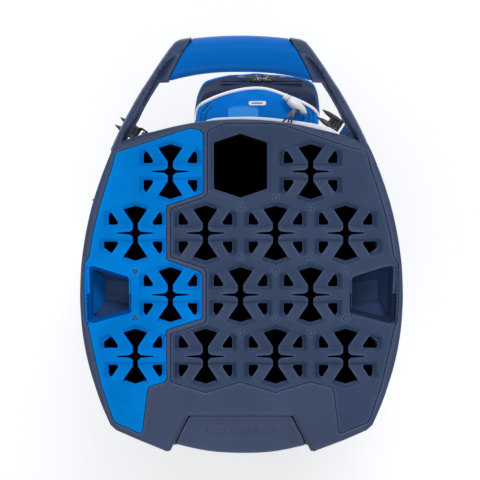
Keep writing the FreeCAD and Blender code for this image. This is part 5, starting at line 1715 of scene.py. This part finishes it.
# ------------------------------------------------------------------ zips
def track(name, frame, length, tape_cloth, coil_plastic):
    half = length / 2
    tape = [block(-half, half, -7.0, 7.0, 0.3, 1.1, 0.2, 0.6)]
    for y in (-5.6, 5.6):
        for x in np.arange(-half + 2, half - 3, 3.2):
            tape.append(tube([(x, y, 1.05), (x + 1.0, y, 1.3), (x + 2.0, y, 1.05)], 0.2, 4))
    cloth(name, place(merge(tape), frame), tape_cloth, name + "_track", sharp=50)
    turns = int((length - 4) / 1.5)
    t = np.linspace(0, turns, turns * 6)
    path = np.column_stack([-(length - 4) / 2 + (length - 4) * t / turns,
                            1.55 * np.sin(2 * math.pi * t), 1.6 + 0.38 * np.cos(4 * math.pi * t)])
    coil = [tube(path, 0.42, 5)]
    for x in (-half + 0.6, half - 2.6):
        coil.append(block(x, x + 2.0, -2.0, 2.0, 0.9, 2.4, 0.3))
    make(name + "_coil", place(merge(coil), frame), coil_plastic)


def slider(name, body, frame):
    plan = rounded([(-5, -2.9), (-2.2, -4.5), (2.6, -4.5), (5, -3.3), (5, 3.3), (2.6, 4.5),
                    (-2.2, 4.5), (-5, 2.9)], [0.8, 2, 2, 0.8, 0.8, 2, 2, 0.8], 4)
    plate = slab([(plan, 0.6)], lambda pts, dist, loop: 4.35 + 0.25 * bell(pts[:, 1], 0, 1.6),
                 2.95, step=1.0, bstep=0.5)
    arch = tube(smooth_run([(-3.3, 0, 3.9), (-3.25, 0, 5.6), (-2.4, 0, 6.9), (0, 0, 7.25),
                            (2.4, 0, 6.9), (3.25, 0, 5.6), (3.3, 0, 3.9)], 26), 0.42, 8)
    arch = ([(x, y * 2.7, z) for x, y, z in arch[0]], arch[1])
    wings = [block(-4.4, 4.4, y, y + 1.45, 1.5, 3.6, 0.4, 0.8) for y in (2.95, -4.4)]
    make(name, place(merge([plate, arch] + wings), frame), SLIDER_PAINT, body,
         sharp=45, body=body)


def pull(name, frame, way, short):
    """Pin and wire ring, cord loop and dipped end, lying along way (+1 or -1) on local X."""
    z = 5.45
    pin = tube([(0, y, z) for y in (-3.0, -2.4, 2.4, 3.0)], 0.72, 12)
    ring = [(0, -2.6), (2.2, -2.7), (4.6, -2.3), (5.7, 0), (4.6, 2.3), (2.2, 2.7), (0, 2.6)]
    ring = tube(smooth_run([(way * x, y, z) for x, y in ring], 30), 0.55, 8)
    make(name + "_ring", place(merge([pin, ring]), frame), SLIDER_PAINT, body=name)
    start, end = 5.4, 14.0 if short else 20.0
    loop = [(start, 0, z), (start + 1.2, -1.9, 5.4), (start + 4.4, -2.3, 5.3),
            (end - 1, -1.3, 5.3), (end + 0.6, 0, 5.3), (end - 1, 1.3, 5.3),
            (start + 4.4, 2.3, 5.3), (start + 1.2, 1.9, 5.4)]
    loop = smooth_run([(way * x, y, z) for x, y, z in loop], 60, True)
    cloth(name, place(tube(loop, 0.8, 10, True), frame), PULL_CORD, name, body=name)
    tip = (end - 2.0, end + 4.0) if short else (end - 2.2, 26.8)
    x0, x1 = sorted(way * x for x in tip)
    make(name + "_end", place(block(x0, x1, -2.5, 2.5, 4.3, 6.4, 0.8, 1.6), frame), DIPPED,
         body=name)


track("upper_zip", UPPER_ZIP, 80.0, TAPE_NAVY, COIL_NAVY)
track("lower_zip", LOWER_ZIP, 96.0, TAPE_DARK, COIL_DARK)
track("left_zip", SIDE_ZIP[1], 400.0, TAPE_DARK, COIL_DARK)
track("right_zip", SIDE_ZIP[-1], 400.0, TAPE_DARK, COIL_DARK)
# name pattern, zip frame, slider's place along it, way of the pull
SLIDERS = [("upper_{}_left", UPPER_ZIP, 5.4, 1), ("upper_{}_right", UPPER_ZIP, -5.4, -1),
           ("lower_{}", LOWER_ZIP, 40.0, -1), ("left_{}", SIDE_ZIP[1], 190.0, -1),
           ("right_{}", SIDE_ZIP[-1], 190.0, -1)]


def slid(frame, x):
    shift = np.eye(4)
    shift[0, 3] = x
    return frame @ shift


for pattern, frame, x, way in SLIDERS:
    slider(pattern.format("zipper"), pattern.format("slider"), slid(frame, x))
for pattern, frame, x, way in SLIDERS:
    pull(pattern.format("pull"), slid(frame, x), way, pattern.startswith("upper"))

# ------------------------------------------------------------------ cord lock
LOCK = np.eye(4)
lock_cos = 0.778 / math.hypot(0.778, 0.629)
lock_sin = -0.629 / math.hypot(0.778, 0.629)
LOCK[:3, 0], LOCK[:3, 1] = (lock_cos, lock_sin, 0), (-lock_sin, lock_cos, 0)
LOCK[:3, 3] = (-52.7, -170.4, 751.6)
# turned sections along the lock's axis, (x, radius)
LOCK_BODY = [(-13.4, 0.05), (-13.1, 1), (-12.2, 2.1), (-10.4, 3.3), (-7.6, 4.5), (-4, 5.3),
             (-0.5, 5.6), (3, 5.4), (6, 4.9), (8.2, 4.45), (8.9, 4.2), (9.1, 3.9), (9, 3.45),
             (-9, 3.45), (-9.1, 3.2), (-9.1, 0.05)]
LOCK_BUTTON = [(-3.2, 0.05), (-3.2, 2.7), (-2.8, 3.05), (0.2, 3.05), (0.6, 2.2), (4.2, 2.2),
               (4.6, 3.05), (9.4, 3.05), (9.6, 3.2), (13.2, 3.2), (13.9, 2.9), (14.2, 2.3),
               (14.2, 0.05)]


def cord_lock():
    verts, faces = lathe(LOCK_BODY)
    verts = [(x, y * 0.93, z) for x, y, z in verts]
    make("lock_body", place((verts, faces), LOCK), LOCK_WHITE, "cord_lock_body",
         sharp=50)
    ring = tube([(8.6, 4.0 * math.cos(a), 4.2 * math.sin(a)) for a in circle(36)], 0.5, 8, True)
    make("lock_collar_ring", place(ring, LOCK), SPRING)
    make("lock_button", place(lathe(LOCK_BUTTON, 32), LOCK), LOCK_WHITE,
         "cord_lock_button", sharp=45, body="cord_lock_button")
    start, length, turns, radius = -8.4, 4.6, 3.8, 2.3
    t = np.linspace(0, turns, 150)
    coil = np.column_stack([start + length * t / turns, radius * np.cos(2 * math.pi * t),
                            radius * np.sin(2 * math.pi * t)])
    spring = make("lock_spring", place(tube(coil, 0.3, 8), LOCK), SPRING,
                  "cord_lock_spring")
    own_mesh(spring)


def draw_cords():
    """Three strands that climb from the lock over the hem, and a loop behind the lock."""
    parts = []
    for i, end_x in enumerate((-38.6, -43.8, -46.8)):
        start = np.array([-51.2 - 0.5 * i, -166.0 - 0.2 * i, 756.0 + 0.7 * (i % 2)])
        end = np.array([end_x, -149.4, 815.9])
        path = []
        for t in np.linspace(0, 1, 14):
            p = start + (end - start) * t
            p[2] = start[2] + (end[2] - start[2]) * (1 - (1 - min(1.0, t / 0.72)) ** 1.5)
            path.append(p)
        parts.append(tube(smooth_run(path, 48), 0.8, 10))
    loop = [(-50.5, -165.0, 754.5), (-54.5, -161.8, 755.5), (-56.2, -164.0, 756.0),
            (-53.0, -165.8, 755.4)]
    parts.append(tube(smooth_run(loop, 30), 0.85, 8))
    cloth("draw_cords", merge(parts), CORD_DARK, "draw_cord")


cord_lock()
draw_cords()

# ------------------------------------------------------------------ quick-release clips
# half of a tongue in its own frame, hinge end first, and its corner radii
TONGUE = [(-3.8, -8), (4, -8), (6.4, -6.4), (11, -6.8), (19.5, -6.4), (27.4, -4.4), (21, -2.2),
          (15.5, -1.6)]
TONGUE_R = [1.2, 1.6, 1.2, 2.0, 3.0, 0.6, 3.0, 1.4]


def tongue(name, body, frame):
    plan = rounded(TONGUE + [(x, -y) for x, y in TONGUE[::-1]], TONGUE_R + TONGUE_R[::-1], 5)
    hole = rounded([(-1.0, -6.0), (2.7, -6.0), (2.7, 6.0), (-1.0, 6.0)], 0.7, 4)
    rib = dots([(13.0, -5.0), (19.0, -4.7), (25.5, -4.1)])
    rib = np.vstack([rib, rib * [1, -1], dots([(5.0, -5.2), (13.0, -5.0)]),
                     dots([(5.0, 5.2), (13.0, 5.0)])])

    def ridge(pts):
        return bell(nearest(rib, pts)[0], 0, 1.1)

    def top(pts, dist, loop):
        x, y = pts[:, 0], pts[:, 1]
        well = np.clip(1.3 - np.maximum(np.abs(x - 9.9) / 1.7, np.abs(y) / 2.8), 0, 0.3) / 0.3
        return 0.95 + 0.65 * ridge(pts) + 0.3 * bell(x, 5.6, 0.8) - 1.1 * well

    plate = slab([(plan, 0.5), (hole, 0.4)], top, lambda pts: -0.75 - 0.85 * ridge(pts),
                 step=0.8, bstep=0.5)
    hinge = tube([(-2.5, y, 0) for y in np.linspace(-7.0, 7.0, 12)], 1.42, 16)
    make(name, place(merge([plate, hinge]), frame), CLIP_BLACK, body, sharp=42,
         body=body)


def web_loop(name, replaces, frame, plan):
    """Fabric loop round the hinge bar, with the webbing patch it comes from."""
    outer = rounded([(-5.9, -3.4), (0.9, -3.4), (0.9, 3.4), (-5.9, 3.4)], 1.5, 6)
    inner = rounded([(-4.8, -2.3), (-0.2, -2.3), (-0.2, 2.3), (-4.8, 2.3)], 1.1, 6)
    outer, inner = even_loop(outer, 40), even_loop(inner, 40)
    centre = np.array([-2.5, 0.0])
    rings = []
    for y, pinch in ((-5.5, 0.25), (-5.3, 0.0), (5.3, 0.0), (5.5, 0.25)):
        section = centre + (outer - centre) * (1 - pinch * 0.06)
        rings.append([(x, y, z) for x, z in section])
    rings += [[(x, y, z) for x, z in inner] for y in (5.5, 5.3, -5.3, -5.5)]
    patch = slab([(rounded(plan, 0.6, 3), 0.35)], flat(0.9), -0.9, step=1.4, bstep=0.8)
    part = merge([loft(rings + [rings[0]], caps=False), patch])
    cloth(name, place(part, frame), WEB_BLUE, replaces, sharp=50, mode="xy")


LEFT_CLIP = axes((94.0, -138.0, 788.0), (0.823, -0.568, 0.0), (0, 0, 1))
RIGHT_CLIP = axes((-96.5, -145.5, 788.0), (0.827, -0.562, 0.0), (0, 0, 1))
tongue("left_tongue", "left_clip", LEFT_CLIP)
tongue("right_tongue", "right_clip", RIGHT_CLIP)
web_loop("left_web", "left_clip_loop", LEFT_CLIP,
         [(-5, -5.5), (-5, 5.5), (-8.6, 5.5), (-8.6, -5.5)])
web_loop("right_web", "right_clip_loop", RIGHT_CLIP,
         [(-5.3, -5.5), (-5.3, 9.4), (3, 9.4), (3, 18.2), (-9.5, 16.2), (-13.5, 8), (-12, -5.5)])

# ------------------------------------------------------------------ towel ring
RING_X, RING_Y, RING_Z = 143.4, 20.0, 700.0


def towel_ring():
    path = [(RING_X, RING_Y + 14 * math.cos(a), RING_Z - 14 * math.sin(a))
            for a in np.linspace(0, math.pi, 30)]
    path += [(RING_X, RING_Y + y, RING_Z) for y in np.linspace(-12.5, 12.5, 14)]
    make("d_ring", tube(even_loop(path, 90), 1.55, 12, True), STEEL, "towel_ring",
         body="towel_ring")
    fold = rounded([(-3.7, -4), (2.6, -4), (2.6, 3.2), (-1.4, 3.2), (-1.4, 17), (-3.7, 17)],
                   [0.8, 2.2, 2.2, 0.6, 0.5, 0.5], 6)
    hole = rounded([(-1.9, -1.9), (1.9, -1.9), (1.9, 1.9), (-1.9, 1.9)], 1.4, 6)
    verts, faces = slab([(fold, 0.3), (hole, 0.2)], flat(9.0), -9.0, bstep=0.8)[:2]
    verts = [(RING_X + x, RING_Y + y, RING_Z + z) for x, z, y in verts]
    cloth("ring_loop", flipped((verts, faces)), WEB_BLUE, "towel_loop", sharp=50)


towel_ring()

# ------------------------------------------------------------------ shoulder strap
# The strap bows away from the spine on a circle through both swivels.
PIN_Y, STRAP_OUT, STRAP_LOW, STRAP_TOP, SAG = 160.5, 6.0, 150.0, 600.0, 20.0
STRAP_HALF = (STRAP_TOP - STRAP_LOW) / 2
BOW_R = (STRAP_HALF ** 2 + SAG ** 2) / (2 * SAG)
BOW_Y, BOW_Z = PIN_Y + STRAP_OUT + SAG - BOW_R, (STRAP_LOW + STRAP_TOP) / 2


def bow(radius, degrees):
    """(y, z) on the bow."""
    angle = math.radians(degrees)
    return BOW_Y + radius * math.cos(angle), BOW_Z + radius * math.sin(angle)


# webbing section: width, height
STRAP_SECTION = [(-12.5, -0.55), (-12.2, -0.95), (12.2, -0.95), (12.5, -0.55), (12.5, 0.55),
                 (12.2, 0.95), (10.6, 0.95), (10.2, 0.82), (9.8, 0.95), (0, 0.95), (-9.8, 0.95),
                 (-10.2, 0.82), (-10.6, 0.95), (-12.2, 0.95), (-12.5, 0.55)]


def strap():
    limit = math.degrees(math.asin(STRAP_HALF / BOW_R)) + 0.2
    rings = [[(w,) + bow(BOW_R + h, d) for w, h in STRAP_SECTION]
             for d in np.linspace(-limit, limit, 150)]
    cloth("strap_webbing", flipped(loft(rings)), WEB_NAVY, "shoulder_strap",
          sharp=50, body="shoulder_strap", mode="xz")
    swivels = []
    for z in (STRAP_LOW, STRAP_TOP):
        rings = [[(r * math.cos(a), PIN_Y + r * math.sin(a), z + dz) for a in circle(32)]
                 for dz, r in ((-5, 3), (-4.6, 3.4), (4.6, 3.4), (5, 3), (5, 2.35), (-5, 2.35),
                               (-5, 3))]
        swivels.append(loft(rings, caps=False))
        swivels.append(block(-4.0, 4.0, PIN_Y + 2.6, PIN_Y + STRAP_OUT + 0.4, z - 4.8, z + 4.8,
                             0.5, 1.0))
    make("strap_swivels", merge(swivels), BLACK, sharp=50, body="shoulder_strap")


def strap_pad():
    """Quilted sleeve on the strap's inner side."""
    section = rounded([(-24.4, -9.8), (24.4, -9.8), (24.4, -1.9), (-24.4, -1.9)], 2.6, 4)
    rings = []
    for d in np.linspace(-3.55, 3.55, 40):
        full = min(1.0, 0.5 + (3.55 - abs(d)) / 0.5)
        rings.append([(w * (0.86 + 0.14 * full),) + bow(BOW_R - 5.9 + (h + 5.9) * full, d)
                      for w, h in section])

    def under_strap(co):
        return np.abs(np.hypot(co[:, 1] - BOW_Y, co[:, 2] - BOW_Z) - BOW_R + 1.9) < 0.7

    ob = soft("strap_pad", flipped(loft(rings)), SPACER, voxel=3.0, pressure=2.6, cap=1.6,
              pin=under_strap)
    # nothing of the pad comes through the webbing
    co = coords(ob)
    radius = np.hypot(co[:, 1] - BOW_Y, co[:, 2] - BOW_Z)
    limit = BOW_R - 1.35
    scale = np.where(radius > limit, limit / radius, 1.0)
    co[:, 1] = BOW_Y + (co[:, 1] - BOW_Y) * scale
    co[:, 2] = BOW_Z + (co[:, 2] - BOW_Z) * scale
    set_coords(ob, co)
    lines = []
    for d in (-2.2, -1.1, 0.0, 1.1, 2.2):
        y, z = bow(BOW_R - 10.5, d)
        lines.append([(x, y - 4, z) for x in np.linspace(-20, 20, 14)])
    for x in (-20.5, 20.5):
        lines.append([(x,) + bow(BOW_R - 14, d) for d in np.linspace(-3.2, 3.2, 40)])
    channel(ob, [snap(ob, line) for line in lines], width=1.6, depth=1.5)
    weave_attrs(ob, "xz")
    settle(ob, "shoulder_strap", "shoulder_pad")


def bow_block(w0, w1, r0, r1, d0, d1, corner=0.5):
    """Rounded block along the bow between widths, radial offsets and degrees."""
    mid_w, mid_r = (w0 + w1) / 2, (r0 + r1) / 2
    section = rounded([(w0, r0), (w1, r0), (w1, r1), (w0, r1)], corner, 4)
    rings = []
    for d, scale in ((d0, 0.75), (d0 + 0.03, 0.95), (d0 + 0.08, 1.0), (d1 - 0.08, 1.0),
                     (d1 - 0.03, 0.95), (d1, 0.75)):
        rings.append([(mid_w + (w - mid_w) * (0.93 + 0.07 * scale),)
                      + bow(BOW_R + mid_r + (r - mid_r) * scale, d) for w, r in section])
    return flipped(loft(rings))


def adjuster():
    """Ladder frame round the webbing."""
    parts = []
    for r0, r1 in ((-3.5, -1.65), (1.65, 3.5)):
        parts.append(bow_block(-15.6, 15.6, r0, r1, 7.05, 7.38))
        parts.append(bow_block(-15.6, 15.6, r0, r1, 7.62, 7.95))
        parts.append(bow_block(-15.6, 15.6, r0 + (0.3 if r0 < 0 else 0),
                               r1 - (0.3 if r1 > 0 else 0), 7.3, 7.7, 0.3))
    for w0, w1 in ((-15.7, -13.0), (13.0, 15.7)):
        parts.append(bow_block(w0, w1, -3.5, 3.5, 7.05, 7.95, 0.8))
    make("adjuster", merge(parts), BLACK, "strap_adjuster", sharp=45,
         body="strap_adjuster")


def strap_mounts():
    """Plates on the spine, each with two lugs, a pin and four domed heads."""
    parts = []
    lug = rounded([(-3, 150.6), (3, 150.6), (3, PIN_Y), (2.4, PIN_Y + 2.2), (0, PIN_Y + 3),
                   (-2.4, PIN_Y + 2.2), (-3, PIN_Y)], [0, 0, 1.5, 1.5, 2, 1.5, 1.5], 5)
    head = lathe([(151.0, 0.05), (151.0, 2.1), (151.9, 2.0), (152.4, 1.3), (152.6, 0.05)], 20)
    for z in (STRAP_LOW, STRAP_TOP):
        plan = rounded([(-15, z - 17), (15, z - 17), (15, z + 17), (-15, z + 17)], 5.0, 8)
        plate = slab([(plan, 0.8)],
                     lambda pts, dist, loop: 151.2 + 0.25 * bell(dist, 2.6, 0.6), 149.0,
                     step=2.0, bstep=1.0)
        parts.append(flipped(([(x, y, up) for x, up, y in plate[0]], plate[1])))
        for dz in (-9.0, 5.6):
            parts.append(slab([(lug, 0.5)], flat(z + dz + 3.4), z + dz, step=1.0, bstep=0.6))
        parts.append(tube([(0, PIN_Y, z + t) for t in np.linspace(-9, 9, 10)], 1.75, 18))
        for sx in (-10.5, 10.5):
            for sz in (-12, 12):
                verts = [(sx + b, a, z + sz + c) for a, b, c in head[0]]
                parts.append(flipped((verts, head[1])))
    make("strap_mounts", merge(parts), BLACK, "strap_anchors", sharp=45)


strap()
strap_pad()
adjuster()
strap_mounts()


# ------------------------------------------------------------------ spine pad
def spine_pad():
    back_y, low, high = 141.2, 111.0, 669.0
    section = rounded([(-55.0, back_y), (55.0, back_y), (55.0, 147.0), (-55.0, 147.0)], 2.4, 4)
    rings = []
    for z in np.linspace(low, high, 90):
        full = min(1.0, 0.45 + min(z - low, high - z) / 9.0)
        rings.append([(x * (0.97 + 0.03 * full), back_y + (y - back_y) * full, z)
                      for x, y in section])
    ob = soft("spine_cushion", loft(rings), SPACER, voxel=4.0, pressure=2.4, cap=1.5,
              pin=lambda co: co[:, 1] < 143.0)
    co = coords(ob)
    co[:, 1] = np.minimum(co[:, 1], 148.6)
    # flatter under the strap mounts
    for z in (STRAP_LOW, STRAP_TOP):
        under = (np.abs(co[:, 0]) < 18) & (np.abs(co[:, 2] - z) < 20) & (co[:, 1] > 145)
        co[under, 1] = np.minimum(co[under, 1], 148.4)
    set_coords(ob, co)
    across = np.linspace(-46, 46, 40)
    lines = [[(x, 155.0, z) for z in np.linspace(124, 656, 260)]
             for x in (-46.0, 46.0, -24.0, 24.0)]
    lines += [[(x, 155.0, z + 10 - abs(x) * 0.35) for x in across]
              for z in np.arange(196.0, 600.0, 44.0)]
    lines += [[(x, 155.0, z) for x in across] for z in (656.0, 124.0)]
    channel(ob, [snap(ob, line) for line in lines], width=2.0, depth=2.2)
    weave_attrs(ob, "xz")
    settle(ob, "bag", "spine_pad")


spine_pad()

# ------------------------------------------------------------------ base cup and sole
# base section: offset outwards from the tube, z
BASE = [(-6, 4), (1, 4), (3.2, 4.5), (4.5, 6), (4.9, 8), (5, 13.5), (4.3, 14.5), (4.3, 16),
        (5, 17), (5, 20), (5, 23), (5, 27), (5, 33), (5, 39), (5, 45), (5, 48), (4.3, 49),
        (4.3, 50.4), (5, 51.4), (5, 57.6), (4.6, 59.3), (3.8, 60), (0.9, 60), (0.35, 59.5),
        (0.35, 30), (0.35, 8), (-6, 8)]


def base_cup():
    """Moulded cup with recessed panels, one every 22.5 degrees."""
    plan = even_loop(grow(TUBE_RUN, 0.0), 360)
    normal = side_normals(plan)
    angle = np.degrees(np.arctan2(plan[:, 1], plan[:, 0]))
    recess = unit((np.abs(((angle + 11.25) % 22.5) - 11.25) - 1.3) / 0.8)
    rings = []
    for out, z in BASE:
        offset = np.full(len(plan), float(out))
        if 19.0 < z < 46.0:
            offset = out - 1.3 * recess * min(1, (z - 19.0) / 3.0, (47.0 - z) / 3.0)
        rings.append(at_height(plan + normal * offset[:, None], z))
    ob = make("base_moulding", loft(rings), BASE_NAVY, sharp=32, body=None)
    work = bmesh.new()
    work.from_mesh(ob.data)
    bmesh.ops.recalc_face_normals(work, faces=work.faces)
    work.to_mesh(ob.data)
    work.free()
    settle(ob, "bag", "base_cup")


def sole():
    plan = even_loop(grow(TUBE_RUN, -4.0), 200)

    def tread(pts):
        """Grooves across the bag, and finer slanting ones, away from the edge."""
        x, y = pts[:, 0], pts[:, 1]
        groove = np.abs(((y + 200) % 14.0) - 7.0)
        slant = np.abs(((x * 0.5 + y * 0.86 + 400) % 22.0) - 11.0)
        away = unit((nearest(resample(plan, 1.0), pts)[0] - 6.0) / 2.0)
        return (0.05 + 1.1 * away * unit((1.6 - groove) / 0.8)
                + 0.3 * away * unit((1.0 - slant) / 0.6))

    part = slab([(plan, 0.4)], flat(3.9), tread, step=2.2, bstep=1.6)
    make("sole_pad", part[:2], SOLE_BLACK, "base_sole", sharp=40)


base_cup()
sole()


# ------------------------------------------------------------------ rivets and plain pieces
def cad_meshes(node):
    return [ob for ob in bpy.data.objects
            if ob.type == "MESH" and ob.name.split(".")[0] == node]


def islands(ob):
    """World positions of each connected piece of a mesh."""
    parent = list(range(len(ob.data.vertices)))

    def root(i):
        while parent[i] != i:
            parent[i] = parent[parent[i]]
            i = parent[i]
        return i

    for e in ob.data.edges:
        a, b = root(e.vertices[0]), root(e.vertices[1])
        if a != b:
            parent[a] = b
    co = np.array([list(ob.matrix_world @ v.co) for v in ob.data.vertices]) / MM
    groups = {}
    for i in range(len(parent)):
        groups.setdefault(root(i), []).append(i)
    return [co[index] for index in groups.values()]


RIVET = [(-7, 0.05), (-7, 2), (-2.2, 2), (-2.1, 3.9), (-1.5, 4), (-0.7, 3.5), (-0.2, 2.4),
         (-0.1, 1.5), (-0.35, 1.2), (-0.35, 0.05)]


def rivets(name, node):
    """A domed rivet at the outer face of every piece of the plain model's rivets."""
    parts = []
    for points in islands(cad_meshes(node)[0]):
        low, high = points.min(0), points.max(0)
        centre = (low + high) / 2
        if abs(centre[1]) > 100:
            way, origin = (0, 1, 0), (centre[0], high[1], centre[2])
        else:
            way = (math.copysign(1.0, centre[0]), 0, 0)
            origin = (high[0] if centre[0] > 0 else low[0], centre[1], centre[2])
        parts.append(place(lathe(RIVET, 28), axes(origin, way, (0, 0, 1))))
    make(name, merge(parts), RIVET_PAINT, node, sharp=45)


rivets("top_rivets", "collar_rivets")
rivets("foot_rivets", "base_rivets")
for node, material in (("putter_tube", TUBE_BLACK), ("club_sleeves", SLEEVE_BLACK),
                       ("stay_rods", ALUMINIUM), ("rear_panel_pins", CLIP_BLACK)):
    for ob in cad_meshes(node):
        ob.data.materials.clear()
        ob.data.materials.append(material)


# ------------------------------------------------------------------ stage, light and camera
def add_floor():
    pale = Graph("pale_floor").surface((0.92, 0.92, 0.925, 1.0), rough=0.9,
                                       Emission_Color=(1.0, 1.0, 1.0, 1.0),
                                       Emission_Strength=0.3)
    bpy.ops.mesh.primitive_plane_add(size=30.0, location=(0, 0, 0))
    floor = bpy.context.object
    floor.name = "floor"
    floor.data.materials.append(pale)


def area_light(name, location, target, size, power):
    light = bpy.data.lights.new(name, "AREA")
    light.shape = "RECTANGLE"
    light.size, light.size_y = size
    light.energy = power
    ob = bpy.data.objects.new(name, light)
    SCENE.collection.objects.link(ob)
    ob.location = location
    way = Vector(target) - Vector(location)
    ob.rotation_euler = way.to_track_quat("-Z", "Y").to_euler()


def add_camera():
    """Straight down, with the bag's front at the top of the view."""
    data = bpy.data.cameras.new("camera")
    ob = bpy.data.objects.new("camera", data)
    SCENE.collection.objects.link(ob)
    ob.location = (EYE_X * MM, EYE_Y * MM, EYE_Z * MM)
    ob.rotation_euler = (0.0, 0.0, math.pi)
    data.sensor_width = 36.0
    data.lens = 36.0 * (EYE_Z - TOP) / VIEW_WIDTH
    data.clip_start = 0.05
    data.clip_end = 60.0
    SCENE.camera = ob


add_floor()
world = bpy.data.worlds.new("studio")
SCENE.world = world
world.use_nodes = True
background = world.node_tree.nodes["Background"]
background.inputs["Color"].default_value = (0.95, 0.97, 1.0, 1.0)
background.inputs["Strength"].default_value = 0.5
area_light("key", location=(-0.35, -1.25, 2.75), target=(0.0, -0.02, 0.88), size=(0.9, 0.7),
           power=17.0)
area_light("wide", location=(0.5, 0.6, 3.2), target=(0.0, 0.0, 0.8), size=(2.2, 1.6), power=13.0)
area_light("front", location=(0.3, -3.2, 1.6), target=(0.0, 0.0, 0.5), size=(1.8, 2.2),
           power=26.0)
area_light("back", location=(-0.6, 3.2, 1.5), target=(0.0, 0.0, 0.5), size=(1.8, 2.2),
           power=22.0)
add_camera()
SCENE.view_settings.view_transform = "Standard"
